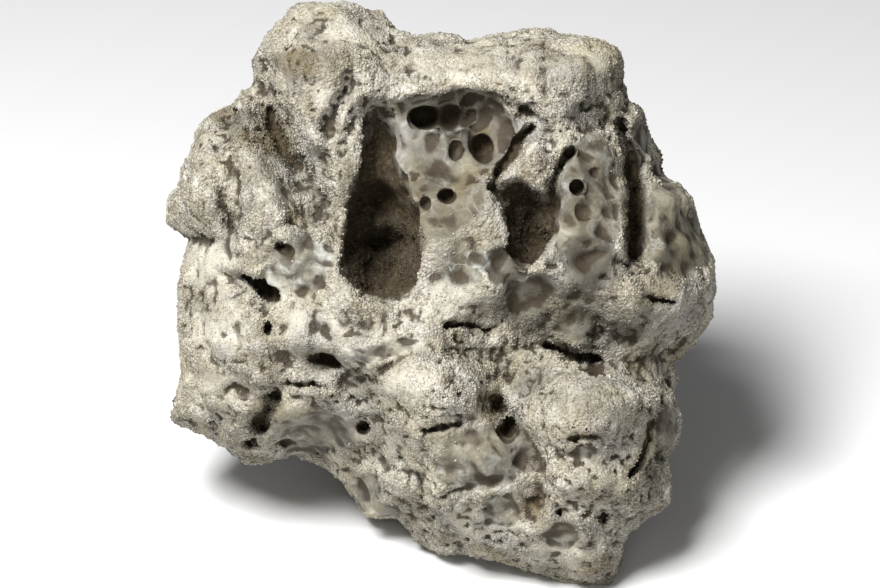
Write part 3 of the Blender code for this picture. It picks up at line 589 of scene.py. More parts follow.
# Small features that only the visual model has
FINE_GROOVES = (
    Groove(((-70, 12), (-68.4, 8), (-68.6, 3)), 1.2, 1.6),
    # ribs of the recess under the cap and beside the long slot
    Groove(((14.6, 51.5), (14, 46)), 0.8, -1.4),
    Groove(((21.4, 50), (20.6, 44)), 0.9, -1.4),
    Groove(((53, 45), (55, 40), (57.4, 36)), 0.9, -1.2),
    Groove(((49, -8.4), (54.5, -6.6), (59.4, -9.6), (63, -6.4), (65, -4)), 0.9, -1.2),
    # veins round the facets
    Groove(FACET_RING, 0.8, -1.0),
    Groove(FACET_STEM, 0.8, -1.0),
    # terraces and a facet's edge at the lower left
    Groove(((-65.5, -16), (-62, -19), (-58, -18), (-55, -20)), 0.9, 1.2),
    Groove(((-60, -21), (-57, -24), (-53, -24.6)), 0.9, 1.2),
    Groove(((-38, -35.4), (-37, -40), (-36, -44)), 0.9, 1.2),
)

FINE_BORINGS = (
    Boring((-4, 25.4), (1.4, 2.4), 6),
    Boring((-7.2, 33.3), (1.8, 1.5), 6),
    Boring((-8.4, 39), (1.4, 1.7), 6),
    Boring((7.1, 48.3), (1.6, 1.6), 6),
    Boring((-47, 44), (1.7, 4.2), 6, 22),
    Boring((-57.5, 51), (2.6, 1.6), 6, 20),
    Boring((-63, 41), (1.6, 2.2), 5),
    Boring((-30, -13), (2.6, 1.3), 7, -30),
    Boring((-25.4, -22.9), (1.3, 1.1), 5),
    Boring((-44.8, 13.6), (1.5, 1.7), 6),
    Boring((-47, 17), (1.5, 1.1), 5, 20),
    Boring((-41, 19.4), (1.5, 1.1), 5, -30),
    Boring((-39.4, 14.8), (1.1, 1.6), 5),
    Boring((-42.4, 12), (1.8, 0.9), 5),
    Boring((-73, 18.4), (1.8, 1.2), 5, -20),
    Boring((37.2, -62.4), (1.4, 1.4), 5),
)

FINE_SLOTS = (
    Slot(((8.4, 54.6), (9, 49.6)), 1.2, 7),
    Slot(((45.5, 4.4), (52, 5.0), (58.5, 6.4)), 1.0, 7),
    Slot(((-11.4, -44), (-10.4, -46.6)), 1.1, 6),
    Slot(((-50.6, -42), (-46, -41.2), (-41, -42.4)), 1.1, 6),
    Slot(((-55, -5), (-53.4, -8.8)), 0.9, 5),
)

# Where the crust is gone and the smooth grey limestone shows
FACE_BARE = (
    Patch((4, 45), (23, 14), 0, 0.3),
    Patch((-12, 36), (8, 20), -4, 0.4),
    Patch((2, 26), (15, 15), 0, 0.6, 0.95),
    Patch((6, 8), (14, 16), 0, 0.8, 0.7),
    Patch((-38, 8), (10, 9.5), 0, 0.4),
    Patch((-47, 3), (6, 7), 20),
    Patch((-44, 28), (10, 9), 0, 1.0, 0.6),
    *FACETS,
    Patch((41, 23), (11, 25), 0, 0.3),
    Patch((40, 2), (14, 8), 0, 0.8, 0.6),
    Patch((67, 19), (11, 17), 10, 0.3),
    Patch((70, -4), (7, 12), 0, 0.9, 0.5),
    Patch((56, 41), (4, 10), -20, 0.3),
    Patch((38, -8), (6, 6.8), 0, 0.3, 0.8),
    Patch((-35, -38.5), (15, 7.4), 0, 0.3, 0.9),
    Patch((13, -46), (17, 10.5), 12, 0.3),
    Patch((17, -61), (7, 5.6), 0, 0.4),
    Patch((34, -67.5), (6, 5), 0, 0.4),
    Patch((-20, -56), (4, 7), 0, 0.4),
    Patch((-16, -61), (6, 2.4), 0, 0.4),
    Patch((64, -37), (5, 9), 0, 0.5, 0.9),
    Patch((41, -44.5), (7, 2.6), 0, 0.6, 0.7),
    Patch((-29, -18), (8, 3), -30, 0.8, 0.8),
    Patch((-16, -16), (13, 3.6), 14, 0.6, 0.9),
    Patch((-70, 44), (7, 7), 0, 0.8, 0.7),
)

BACK_BARE = (
    Patch((18, 12), (20, 12), 15),
    Patch((-34, -12), (14, 20), -20),
    Patch((-6, 12), (13, 17), -25),
    Patch((44, 44), (12, 9), 30),
    Patch((-22, 50), (14, 7), 10),
    Patch((34, -36), (18, 9), 15),
)

# Where the crust is fine and pale
FACE_FINE = (
    Patch((10, 65), (32, 10), 0, 0.6, 0.6),
    Patch((-24, 73), (16, 8), 0, 0.6, 0.6),
    Patch((-16, -16), (14, 4), 14, 0.4),
    Patch((42, -32), (15, 10), -8, 0.5, 0.4),
    Patch((-10, -25), (14, 8), 15, 0.8),
    Patch((40, 65), (10, 6), 0, 0.6, 0.8),
    Patch((-64, 9), (10, 10), 0, 0.7),
    Patch((-62, -10), (12, 12), 0, 0.8),
    Patch((-62, -26), (12, 9), -20, 0.8, 0.8),
    Patch((-40, -8), (12, 5), -10, 0.8, 0.9),
    Patch((4, -1), (16, 8), 0, 0.8),
    Patch((-32, -8), (14, 6), -20, 0.8, 0.9),
    Patch((14, -64), (16, 5), -10, 0.8, 0.8),
    Patch((36, -73), (14, 7), -10, 0.8, 0.8),
    Patch((-12, -44), (8, 9), -30, 0.8, 0.7),
    Patch((-44, 62), (5, 9), 0, 0.8, 0.7),
    Patch((-33, 54), (6, 9), 0, 0.8, 0.8),
)

# Where the bare stone or the crust is dark grey, and where shade is painted: over recesses, slots, dish
# middles and surfaces that face down
FACE_DARK_AND_SHADE = (
    *FACETS,
    # painted shade in the middles of the dishes worn in the right column and in the bulge beside it
    Patch((40.5, 37.8), (3.2, 3.2), 0, 0.8, 1.2),
    Patch((40.5, 25.3), (3.4, 3.0), 0, 0.8, 1.2),
    Patch((40.9, 14.2), (7, 6), 0, 0.9, 1.2),
    Patch((63.1, 21.3), (1.8, 2.6), 0, 0.8, 1.2),
    Patch((64.9, 15.6), (2.0, 2.6), 0, 0.8, 1.2),
    Patch((70.3, 16.4), (2.6, 3.0), 0, 0.8, 1.2),
    Patch((69.8, 10.8), (3.0, 1.8), -20, 0.8, 1.2),
    Patch((61.8, 7.5), (2.4, 1.8), 0, 0.8),
    Patch((14, 44), (9, 10)),
    Patch((2, 45), (22, 12), 0, 0.5, 0.65),
    Patch((4, 26), (14, 16), 0, 0.8, 0.5),
    Patch((46, 62), (6, 8), 0, 0.7, 0.7),
    Patch((34, 63), (12, 7), 0, 0.8, 0.45),
    Patch((8, 63), (20, 3), 3, 0.9, 0.35),
    Patch((-2, 70), (8, 3), -10, 0.9, 0.35),
    Patch((42, -32), (11, 3.4), -6, 0.9, 0.5),
    Patch((-46, 11), (8, 6), 0, 0.9, 0.6),
    Patch((-62, -6), (8, 5), -20, 0.9, 0.35),
    Patch((-66, -2), (5, 8), 0, 0.9, 0.3),
    Patch((-60, 22), (9, 10), 0, 0.9, 0.35),
    Patch((64, 8), (8, 15), 0, 0.8, 0.6),
    Patch((50, 60), (5, 12), -10, 0.8, 0.7),
    Patch((-4, 30), (4, 20), 8, 0.8, 0.6),
    Patch((-40, 64), (7, 5), 0, 0.8, 0.4),
    Patch((-52, 24), (14, 4), 20, 0.9, 0.4),
    Patch((43, 60), (8, 7), 0, 0.7, 0.9),
    Patch((42, 10), (9, 8), 0, 0.5, 1.2),
    # painted shade on the left wall of the main hollow
    Patch((-26, 33), (3.4, 13), -12, 0.9, 0.9),
    Patch((61, -4), (10, 8), 0, 0.8, 0.9),
    Patch((-39, 16), (7, 5), 0, 0.9, 0.6),
    Patch((41, -31), (13, 9), 0, 0.9, 0.35),
    Patch((-48, -12), (9, 4), -15, 0.9, 0.3),
    Patch((0, -39), (8, 4), 0, 0.8, 0.6),
    Patch((60, -54), (5, 9), 0, 0.8, 0.7),
    Patch((3, -69), (11, 5), -10, 0.8, 0.5),
    Patch((-18, -39), (6, 7), 0, 0.8, 0.7),
    Patch((-64, -22.6), (8, 4), -15, 0.8, 0.5),
    Patch((-26, -45), (5, 6), 0, 0.8, 0.7),
    Patch((26, -24), (12, 7), 20, 0.9, 0.7),
    Patch((41, -40), (6.5, 2.6), 0, 0.5, 0.6),
    Patch((56, -18), (12, 6), -10, 0.9, 0.5),
    Patch((-30, 66), (9, 7), 0, 0.8, 0.45),
    Patch((-41, 62), (5, 10), 0, 0.8, 0.6),
    Patch((32, 11), (5, 12), 0, 0.8, 0.5),
    Patch((14, 12), (7, 14), 0, 0.9, 0.45),
    Patch((0, 18), (9, 9), 0, 0.9, 0.4),
    Patch((62, 2), (10, 9), 0, 0.9, 0.55),
    Patch((-50, 33), (10, 12), 0, 0.9, 0.5),
    Patch((52, -9), (12, 8), 0, 0.7, 0.7),
    Patch((42, 50.5), (7, 5.4), 0, 0.3, 0.9),
    Patch((56, 41), (5, 11), -20, 0.4, 1.1),
    Patch((42, 6), (9, 9), 0, 0.6),
    # painted shade under the right column, where the surface faces down
    Patch((35, -6), (26, 13), -8, 0.6, 0.9),
    Patch((45, 6), (9, 7), 0, 0.7, 0.9),
    # painted shade in the long slot
    Patch((54.5, 24), (5, 20), 3, 0.4, 1.15),
    Patch((42, 27), (11, 22), 0, 0.6, 0.6),
    Patch((-18, 54), (6, 5), 0, 0.8, 0.7),
    Patch((68, 12), (8, 12), 0, 0.8, 0.5),
    Patch((-46, 43), (9, 14), 20, 0.8, 0.9),
    Patch((-57, 48), (9, 7), 20, 0.9, 0.7),
    Patch((-49, -34), (7, 10), -25, 0.7, 0.5),
    Patch((-36, -17), (9, 7), -20, 0.8, 0.8),
    Patch((14, -48), (12, 7), 10, 0.6, 0.3),
    Patch((22, -42), (5, 12), 15, 0.6, 0.7),
    Patch((-16, -61), (6, 2.6)),
    Patch((62, -40), (5, 14), 0, 0.7, 0.6),
    Patch((-36, 74), (5, 4), 0, 0.8, 0.6),
    Patch((36, -66), (14, 10), -30, 0.8, 0.5),
)

# Brown and olive stains, and painted brown shade over some slots and recesses
FACE_STAINS_AND_SHADE = (
    Patch((-40, 65), (8, 7), 0, 0.6),
    Patch((6, 24), (12, 14), 0, 0.9, 0.6),
    Patch((42, 26), (10, 22), 0, 0.9, 0.35),
    Patch((66, 14), (10, 16), 0, 0.9, 0.4),
    Patch((-6, 26), (3, 20), 8, 0.8, 0.7),
    Patch((24, 33), (2.6, 6), -15, 0.8),
    Patch((-54, 44), (7, 4), 0, 0.8),
    Patch((26, -59), (8, 7), 20, 0.8),
    Patch((41, -40.5), (6, 2), 0, 0.8),
    Patch((-40, 22), (5, 3.6), 0, 1.0),
    Patch((9, -9.4), (6, 2.4), -10, 1.0),
    # darker brown over the left recess, partly painted shade
    Patch((-47, 45), (6, 11), 15, 0.8),
    Patch((-34, -18), (8, 5), -20, 0.8, 0.8),
    Patch((-48, -33), (6, 8), -25, 0.9, 0.7),
    Patch((44, -76), (8, 5), 0, 1.0),
    Patch((14, -31), (7, 6), 0, 0.8),
    Patch((8, 33), (9, 5), 20, 1.0),
    Patch((14, 43), (8, 8), 0, 0.8, 0.8),
    # painted shade in the long slot
    Patch((54.5, 26), (3.4, 18), 3),
    Patch((-62, 50), (6, 4), 20, 0.8, 0.8),
    Patch((-37, 53), (4, 9), 20, 0.9, 0.6),
    Patch((-50, -20), (9, 5), -20, 1.0, 0.8),
    Patch((62, 2), (9, 6), 0, 1.0, 0.7),
)

# White calcite, as patches and as veins
FACE_CALCITE = (
    Patch((-47, 1.5), (5, 6.5), 30, 0.9, 0.6),
    Patch((-34, 8), (4, 8), 0, 1.0, 0.5),
    Patch((1.5, 32.5), (2, 1.8), 0, 0.8),
    Patch((-8, 48), (2.4, 2), 0, 0.8),
    Patch((11, -22), (4, 3), 0, 0.9),
    Patch((10, -35), (5, 3), 10, 0.8),
    Patch((36, 44), (8, 3), 0, 1.0),
    Patch((-49, 29), (5, 4), 0, 1.0),
    Patch((-18, -61.6), (2.4, 0.9), 0, 0.8),
)

FACE_VEINS = (
    Groove(FACET_RING, 0.8, 1.0),
    Groove(((11, 7), (14, 3.4), (17.4, 2), (20.5, 3.6), (26, 5.8), (30.6, 10.6)), 0.9, 1.0),
    Groove(FACET_STEM, 0.8, 0.8),
    Groove(((-11, 47), (-9, 48.4), (-6, 46), (0, 45), (6.5, 47.5)), 0.7, 0.9),
    Groove(((-35, 16), (-31, 10), (-31, 5), (-34, 1)), 0.8, 0.8),
    Groove(((-45, 8), (-38, 3)), 0.6, 0.8),
    Groove(((8, -59), (12, -57.4), (16, -56.5)), 0.8, 1.0),
    Groove(((5, -38.5), (7, -36), (10, -34)), 0.6, 0.8),
    Groove(((0, -47), (6, -51), (7, -55)), 0.5, 0.7),
    Groove(((-28, -34.8), (-20, -34)), 0.5, 0.8),
    Groove(((14, 49), (14, 41)), 0.5, 0.6),
    Groove(((33, 8), (37, 17), (33, 20)), 0.5, 0.5),
)

# Patterns of the materials
WARM_DRIFTS = Pattern(0.016, 0.45, 0.75, 5.0)
COOL_DRIFTS = Pattern(0.021, 0.48, 0.72, 5.0)
CRUST_PATCHES = Pattern(0.010, 0.4, 0.58)
CRUST_BLOTCHES = Pattern(0.0028, 0.38, 0.6, 3.0)
CRUST_COATS = Pattern(0.015, 0.5, 0.64)
SPECK_CLUSTERS = Pattern(0.006, 0.36, 0.64, 3.0, 0.5)
WORN_SPOTS = Pattern(0.0014, 0.48, 0.6, 3.0)
GRIME_PATCHES = Pattern(0.004, 0.3, 0.7)
SHADE_GRIT = Pattern(0.0013, 0.44, 0.66, 4.0, 0.7)
STONE_CLOUDS = Pattern(0.006, 0.36, 0.62, 6.0, 0.65)
STONE_BREAKS = Pattern(0.005, 0.36, 0.6)
STONE_FLECKS = Pattern(0.001, 0.46, 0.66, 4.0, 0.75)
VEIN_BREAKS = Pattern(STONE_VEINS * 1.5, 0.42, 0.66, 3.0, 0.5)

# Finishes that wander without a place of their own, most of them on the back
BACK_FINE = Drift(22.0, 3.0, 0.0, 72)
BACK_DARK = Drift(18.0, 3.0, -0.6, 75)
BACK_STAINS = Drift(16.0, 2.5, -0.9, 73)
BACK_CALCITE = Drift(12.0, 4.0, -2.2, 74)
DISH_DRIFT = Drift(17.0, 1.6, 0.55, 69)
PIT_DRIFT = Drift(11.0, 2.5, -0.1, 85)
GRAIN_DRIFT = Drift(4.0, 1.6, 0.6, 91)

# How edges wander: the size of the bends, how far they go, and a seed for each axis
EDGE_WAVERS = ((5.0, 1.4, (61, 62)), (2.0, 0.6, (63, 64)))
DISH_WAVERS = ((7.0, 2.6, (65, 66, 67)), (2.5, 0.5, (76, 77, 78)))


def smooth_step(value):
    """0 below 0, 1 above 1, and a smooth rise between."""
    value = np.clip(value, 0.0, 1.0)
    return value * value * (3.0 - 2.0 * value)


def rising(value, start, run):
    """0 up to the start and 1 from a run further on, with a smooth rise between."""
    return smooth_step((value - start) / run)


def table_rows(cell):
    """A row of a random table for each cell of a grid, mixed so that neighbours differ."""
    x, y, z = (cell * TABLE_STRIDES).T
    return (x ^ y ^ z) & (TABLE_SIZE - 1)


def noise(points, size, seed):
    """Smooth noise from -1 to 1 at points in millimetres, with features about size wide."""
    table = np.random.default_rng(seed).uniform(-1.0, 1.0, TABLE_SIZE)
    scaled = points / size
    cell = np.floor(scaled).astype(np.int64)
    blend = smooth_step(scaled - cell)
    total = np.zeros(len(points))
    for corner in np.ndindex(2, 2, 2):
        value = table[table_rows(cell + corner)]
        total += value * np.prod(np.where(corner, blend, 1.0 - blend), axis=1)
    return total


def layered_noise(points, size, layers, seed):
    """Noise of several sizes, each half the one before in size and in height."""
    return sum(noise(points, size / 2**layer, seed + layer) / 2**layer for layer in range(layers))


def drifting(points, drift):
    """A drift's value from 0 to 1 at each point."""
    return smooth_step(noise(points, drift.size, drift.seed) * drift.gain + drift.level)


def wander(points, wavers):
    """How far each point is shifted along its axes, as the wavers say."""
    total = 0.0
    for size, reach, seeds in wavers:
        total = total + np.column_stack([noise(points, size, seed) for seed in seeds]) * reach
    return total


def cell_middles(points, size, seed):
    """0 on the borders of irregular cells about size wide, rising to 1 in their middles."""
    table = np.random.default_rng(seed).uniform(0.1, 0.9, (TABLE_SIZE, 3))
    scaled = points / size
    corner = np.floor(scaled).astype(np.int64)
    nearest, second = np.full(len(points), np.inf), np.full(len(points), np.inf)
    for step in np.ndindex(3, 3, 3):
        cell = corner + np.array(step) - 1
        middle = cell + table[table_rows(cell)]
        distance = np.linalg.norm(scaled - middle, axis=1)
        second = np.minimum(second, np.maximum(nearest, distance))
        nearest = np.minimum(nearest, distance)
    return np.clip((second - nearest) / 0.6, 0.0, 1.0)


def lumpy(points, height):
    """Rounded lumps of three sizes with sharp creases between them."""
    sizes = ((LUMP_SIZE, 41), (LUMP_SIZE / 2, 42), (LUMP_SIZE / 4, 43))
    return sum(np.abs(noise(points, size, seed)) * height * size / LUMP_SIZE for size, seed in sizes)


def outline_radius():
    """Distance of the outline from the middle, for every half degree from -180."""
    points = np.array(OUTLINE + OUTLINE[:1], float)
    steps = np.linspace(0.0, 1.0, OUTLINE_STEPS, endpoint=False)[:, None]
    dense = np.concatenate([a + (b - a) * steps for a, b in zip(points, points[1:])])
    radius = np.zeros(HALF_DEGREES)
    angle = np.degrees(np.arctan2(dense[:, 1], dense[:, 0]))
    row = np.floor((angle + 180.0) * 2.0).astype(int) % HALF_DEGREES
    np.maximum.at(radius, row, np.hypot(*dense.T))
    known = np.flatnonzero(radius)
    return np.interp(np.arange(HALF_DEGREES), known, radius[known], period=HALF_DEGREES)


def turned_mean(values, reach):
    """Mean over reach samples to each side, round the circle."""
    return np.mean([np.roll(values, shift) for shift in range(-reach, reach + 1)], axis=0)


def inner_radius(radius):
    """The outline without its small bumps, nowhere outside it."""
    shifts = range(-OUTLINE_BUMPS, OUTLINE_BUMPS + 1)
    low = np.min([np.roll(radius, shift) for shift in shifts], axis=0)
    return turned_mean(low, OUTLINE_BUMPS)


OUTER = outline_radius()
INNER = inner_radius(OUTER)


def by_angle(values, angle):
    """Value at an angle in degrees from a half-degree table."""
    return np.interp((angle + 180.0) * 2.0, np.arange(HALF_DEGREES), values, period=HALF_DEGREES)


def rim_sheer(angle):
    degrees, sheer = zip(*RIM_SHEER)
    every_angle = np.arange(HALF_DEGREES) / 2.0 - 180.0
    table = turned_mean(np.interp(every_angle, degrees, sheer), SHEER_REACH)
    return by_angle(table, angle)


def inside_ellipse(u, v, shape):
    """How far inside a swell or patch each point is: 1 at the middle, 0 from its edge on."""
    turn = math.radians(shape.turn)
    along = (u - shape.at[0]) * math.cos(turn) + (v - shape.at[1]) * math.sin(turn)
    across = (v - shape.at[1]) * math.cos(turn) - (u - shape.at[0]) * math.sin(turn)
    distance = np.hypot(along / shape.reach[0], across / shape.reach[1])
    return smooth_step((1.0 - distance) / shape.edge)


def path_distance(u, v, path):
    """Distance to a path, and the same with a sign: positive to the left of it."""
    nearest = np.full(u.shape, np.inf)
    signed = np.zeros(u.shape)
    for (u0, v0), (u1, v1) in zip(path, path[1:]):
        du, dv = u1 - u0, v1 - v0
        length = math.hypot(du, dv)
        share = np.clip(((u - u0) * du + (v - v0) * dv) / length**2, 0.0, 1.0)
        distance = np.hypot(u - u0 - share * du, v - v0 - share * dv)
        side = (du * (v - v0) - dv * (u - u0)) / length
        closer = distance < nearest
        nearest = np.where(closer, distance, nearest)
        signed = np.where(closer, side, signed)
    return nearest, signed


def near(u, v, path, reach):
    """Indices of the points within reach of a path's box."""
    low = np.min(path, axis=0) - reach
    high = np.max(path, axis=0) + reach
    return np.flatnonzero((u > low[0]) & (u < high[0]) & (v > low[1]) & (v < high[1]))


def swell_height(u, v, swells):
    height = np.zeros(u.shape)
    for shape in swells:
        at = near(u, v, (shape.at,), max(shape.reach))
        height[at] += shape.rise * inside_ellipse(u[at], v[at], shape)
    return height


def groove_depth(u, v, grooves):
    depth = np.zeros(u.shape)
    for shape in grooves:
        at = near(u, v, shape.path, shape.width)
        distance, _ = path_distance(u[at], v[at], shape.path)
        depth[at] += shape.depth * smooth_step((1.0 - distance / shape.width) * GROOVE_STEEPNESS)
    return depth


def ledge_drop(u, v, ledges):
    total = np.zeros(u.shape)
    for shape in ledges:
        reach = shape.fall + shape.run
        at = near(u, v, shape.path, reach)
        distance, signed = path_distance(u[at], v[at], shape.path)
        ends = np.abs(signed) / np.maximum(distance, 1e-6)
        below = np.where(signed < 0, distance, 0.0)
        drop = smooth_step(below / shape.fall) * smooth_step((reach - below) / shape.run)
        total[at] += shape.drop * drop * smooth_step(ends * 1.5 - 0.5)
    return total


def face_relief(u, v):
    height = swell_height(u, v, FACE_SWELLS) - groove_depth(u, v, FACE_GROOVES + FINE_GROOVES)
    return height - ledge_drop(u, v, FACE_LEDGES)


def back_relief(u, v):
    height = swell_height(-u, v, BACK_SWELLS) - groove_depth(-u, v, BACK_GROOVES)
    return height - ledge_drop(-u, v, BACK_LEDGES)


def pebble_height(u, v, thickness):
    """Height of the plain pebble over the face plane, without relief."""
    angle = np.degrees(np.arctan2(v, u))
    share = np.clip(np.hypot(u, v) / by_angle(INNER, angle), 0.0, WIDEST_SHARE)
    side = math.copysign(1.0, thickness)
    roundness = FRONT_ROUNDNESS if side > 0 else BACK_ROUNDNESS
    rise = abs(thickness) * (1.0 - share**roundness) ** (1.0 / roundness)
    return side * rise + rim_sheer(angle) * share**3


def stone_points(directions, lump_height):
    """The stone's surface on the face plane's axes, for each direction of a unit sphere."""
    x, y, z = directions.T
    angle = np.degrees(np.arctan2(y, x))
    flat = np.hypot(x, y)
    roundness = np.where(z > 0, FRONT_ROUNDNESS, BACK_ROUNDNESS)
    share = flat ** (2.0 / roundness)
    thickness = np.where(z > 0, FRONT_THICKNESS, BACK_THICKNESS)
    w = np.sign(z) * thickness * np.abs(z) ** (2.0 / roundness)
    detail = np.exp(-((w / OUTLINE_DETAIL_DEPTH) ** 2))
    radius = by_angle(INNER, angle) * (1.0 - detail) + by_angle(OUTER, angle) * detail
    u = radius * share * x / np.maximum(flat, 1e-9)
    v = radius * share * y / np.maximum(flat, 1e-9)
    w = w + rim_sheer(angle) * share**3
    points = np.column_stack([u, v, w])
    waver_u = noise(points, WAVER_SIZE, 21) * CRUST_WAVER
    waver_v = noise(points, WAVER_SIZE, 22) * CRUST_WAVER
    front = rising(z, *FRONT_RISE)
    back = rising(-z, *BACK_RISE)
    lift = face_relief(u + waver_u, v + waver_v) * front
    lift -= back_relief(u + 2 * waver_u, v + 2 * waver_v) * back
    points[:, 2] += lift
    outward = directions * np.array([1.0, 1.0, FLAT_OUTWARD])
    outward /= np.linalg.norm(outward, axis=1)[:, None]
    flank = 1.0 - rising(z, *FLANK_RISE)
    rough = layered_noise(points, FLANK_SIZE, 3, 5) * FLANK_HEIGHT * flank
    rough += lumpy(points, lump_height) - lump_height / 2
    rough += RIM_FULLNESS * (1.0 - rising(np.abs(z), *RIM_BAND))
    points += outward * rough[:, None]
    points = drawn_in_at_foot(points, back)
    return held_in_outline(points)


def drawn_in_at_foot(points, back):
    """The back's lower end, rounded towards the spot that the stone stands on."""
    under = np.clip(1.0 - height_over_ground(points) / FOOT_ROUNDING, 0.0, 1.0) ** 2
    return points + (np.array(FOOT_MIDDLE) - points) * (FOOT_DRAW * under * back)[:, None]


def held_in_outline(points):
    """Whatever stands out past the outline is brought back to it."""
    u, v, w = points.T
    limit = by_angle(OUTER, np.degrees(np.arctan2(v, u))) + OUTLINE_SLACK
    share = np.minimum(1.0, limit / np.maximum(np.hypot(u, v), 1e-6))
    return np.column_stack([u * share, v * share, w])


def height_over_ground(points):
    return points[:, 1] * math.cos(FACE_TILT) + points[:, 2] * math.sin(FACE_TILT) + FACE_HEIGHT


def to_world(points):
    """From the face plane's u, v and w to x, y and z over the ground, in metres."""
    closer = 1.0 - points[:, 2] / EYE_DISTANCE
    points = points * np.column_stack([closer, closer, np.ones(len(points))])
    u, v, w = points.T
    x = u + BOX_MIDDLE[0]
    y = v * math.sin(FACE_TILT) - w * math.cos(FACE_TILT) + BOX_MIDDLE[1]
    return np.column_stack([x, y, height_over_ground(points)]) * MM


def to_face(places):
    """From x, y and z in metres back to the face plane's u, v and w."""
    x, y, z = (places / MM).T
    x, y, z = x - BOX_MIDDLE[0], y - BOX_MIDDLE[1], z - FACE_HEIGHT
    v = y * math.sin(FACE_TILT) + z * math.cos(FACE_TILT)
    w = z * math.sin(FACE_TILT) - y * math.cos(FACE_TILT)
    closer = 1.0 - w / EYE_DISTANCE
    return np.column_stack([x / closer, v / closer, w])


def sphere_directions(subdivisions):
    """Points and triangles of a unit icosphere."""
    mesh = bmesh.new()
    bmesh.ops.create_icosphere(mesh, subdivisions=subdivisions, radius=1.0)
    points = np.array([vertex.co for vertex in mesh.verts])
    faces = np.array([[vertex.index for vertex in face.verts] for face in mesh.faces])
    mesh.free()
    return points / np.linalg.norm(points, axis=1)[:, None], faces


def cutter_points(boring, directions, thickness, relief_at):
    """An egg round a boring's axis: its mouth stands out of the face, its end lies at the depth."""
    side = math.copysign(1.0, thickness)
    u = np.array([boring.at[0] * side])
    v = np.array([boring.at[1]])
    face = pebble_height(u, v, thickness) + side * relief_at(u, v)
    turn = math.radians(boring.turn)
    taper = 1.0 - MOUTH_TAPER * (1.0 - directions[:, 2]) / 2.0
    across = directions[:, 0] * boring.mouth[0] * taper
    upward = directions[:, 1] * boring.mouth[1] * taper
    travel = directions[:, 2] * boring.depth
    along_u = across * math.cos(turn) - upward * math.sin(turn) - boring.lean[0] * travel
    along_v = across * math.sin(turn) + upward * math.cos(turn) - boring.lean[1] * travel
    offset = np.column_stack([side * along_u, along_v, side * travel])
    middle = np.array([u[0], v[0], face[0]])
    bumps = sum(noise(middle + offset, size, seed) * height for size, height, seed in CUTTER_BUMPS)
    return middle + offset * (1.0 + bumps)[:, None]


def slot_borings(slot):
    """The borings that make a slot: a row of them along its path."""
    row = []
    for start, end in zip(slot.path, slot.path[1:]):
        run = math.dist(start, end)
        count = max(2, math.ceil(run / (slot.width * SLOT_SPACING)))
        for share in np.linspace(0.0, 1.0, count):
            at = tuple(a + (b - a) * share for a, b in zip(start, end))
            place = np.array([[*at, 0.0]])
            width = slot.width * (1.0 + SLOT_UNEVENNESS * noise(place, SLOT_BUMPS, 51)[0])
            row.append(Boring(at, (width, width), slot.depth))
    return row


def hollow_borings(hollow):
    """The borings that make a large hollow, with sizes between those of its stations."""
    row = []
    for start, end in zip(hollow.stations, hollow.stations[1:]):
        for share in np.linspace(0.0, 1.0, HOLLOW_STEPS, endpoint=False):
            u, v, width, depth = (a + (b - a) * share for a, b in zip(start, end))
            row.append(Boring((u, v), (width, width), depth))
    u, v, width, depth = hollow.stations[-1]
    return row + [Boring((u, v), (width, width), depth)]


def new_mesh(name, points, faces):
    """A mesh from arrays of points in metres and of triangles."""
    mesh = bpy.data.meshes.new(name)
    mesh.vertices.add(len(points))
    mesh.vertices.foreach_set("co", points.astype(np.float32).ravel())
    mesh.loops.add(faces.size)
    mesh.loops.foreach_set("vertex_index", faces.astype(np.int32).ravel())
    mesh.polygons.add(len(faces))
    mesh.polygons.foreach_set("loop_start", np.arange(0, faces.size, faces.shape[1], dtype=np.int32))
    mesh.update(calc_edges=True)
    return mesh


def new_object(name, data):
    thing = bpy.data.objects.new(name, data)
    bpy.context.scene.collection.objects.link(thing)
    return thing


def remesh(thing, name, voxel):
    even = thing.modifiers.new(name, "REMESH")
    even.mode = "VOXEL"
    even.voxel_size = voxel * MM


def cut_away(thing, name, cutter):
    cut = thing.modifiers.new(name, "BOOLEAN")
    cut.operation = "DIFFERENCE"
    cut.solver = "EXACT"
    cut.object = cutter


def make_cutter():
    """All hollows, borings and slots as one closed body, joined by a remesh."""
    directions, faces = sphere_directions(CUTTER_SUBDIVISIONS)
    borings = [boring for slot in FACE_SLOTS + FINE_SLOTS for boring in slot_borings(slot)]
    borings += [boring for hollow in FACE_HOLLOWS for boring in hollow_borings(hollow)]
    borings += FACE_BORINGS + FINE_BORINGS
    work = [(boring, FRONT_THICKNESS, face_relief) for boring in borings]
    work += [(boring, -BACK_THICKNESS, back_relief) for boring in BACK_BORINGS]
    points = [cutter_points(boring, directions, thickness, at) for boring, thickness, at in work]
    every_face = [faces + len(directions) * turn for turn in range(len(work))]
    mesh = new_mesh("hollow_cutter", to_world(np.concatenate(points)), np.concatenate(every_face))
    cutter = new_object("hollow_cutter", mesh)
    remesh(cutter, "one skin", CUTTER_VOXEL)
    return cutter


def take_shape(thing, name):
    """The mesh that an object's modifiers make, as a mesh of its own."""
    graph = bpy.context.evaluated_depsgraph_get()
    graph.update()
    mesh = bpy.data.meshes.new_from_object(thing.evaluated_get(graph), depsgraph=graph)
    mesh.name = name
    return mesh


def remove(thing):
    mesh = thing.data
    bpy.data.objects.remove(thing)
    bpy.data.meshes.remove(mesh)


def vertex_places(mesh):
    places = np.empty(len(mesh.vertices) * 3, np.float32)
    mesh.vertices.foreach_get("co", places)
    return places.reshape(-1, 3).astype(float)


def vertex_normals(mesh):
    normals = np.empty(len(mesh.vertices) * 3, np.float32)
    mesh.vertex_normals.foreach_get("vector", normals)
    return normals.reshape(-1, 3).astype(float)


def move_vertices(mesh, places):
    mesh.vertices.foreach_set("co", places.astype(np.float32).ravel())
    mesh.update()


def edge_ends(mesh):
    """The vertex at one end of each edge, and the one at its other end."""
    ends = np.empty(len(mesh.edges) * 2, np.int32)
    mesh.edges.foreach_get("vertices", ends)
    return ends.reshape(-1, 2).T


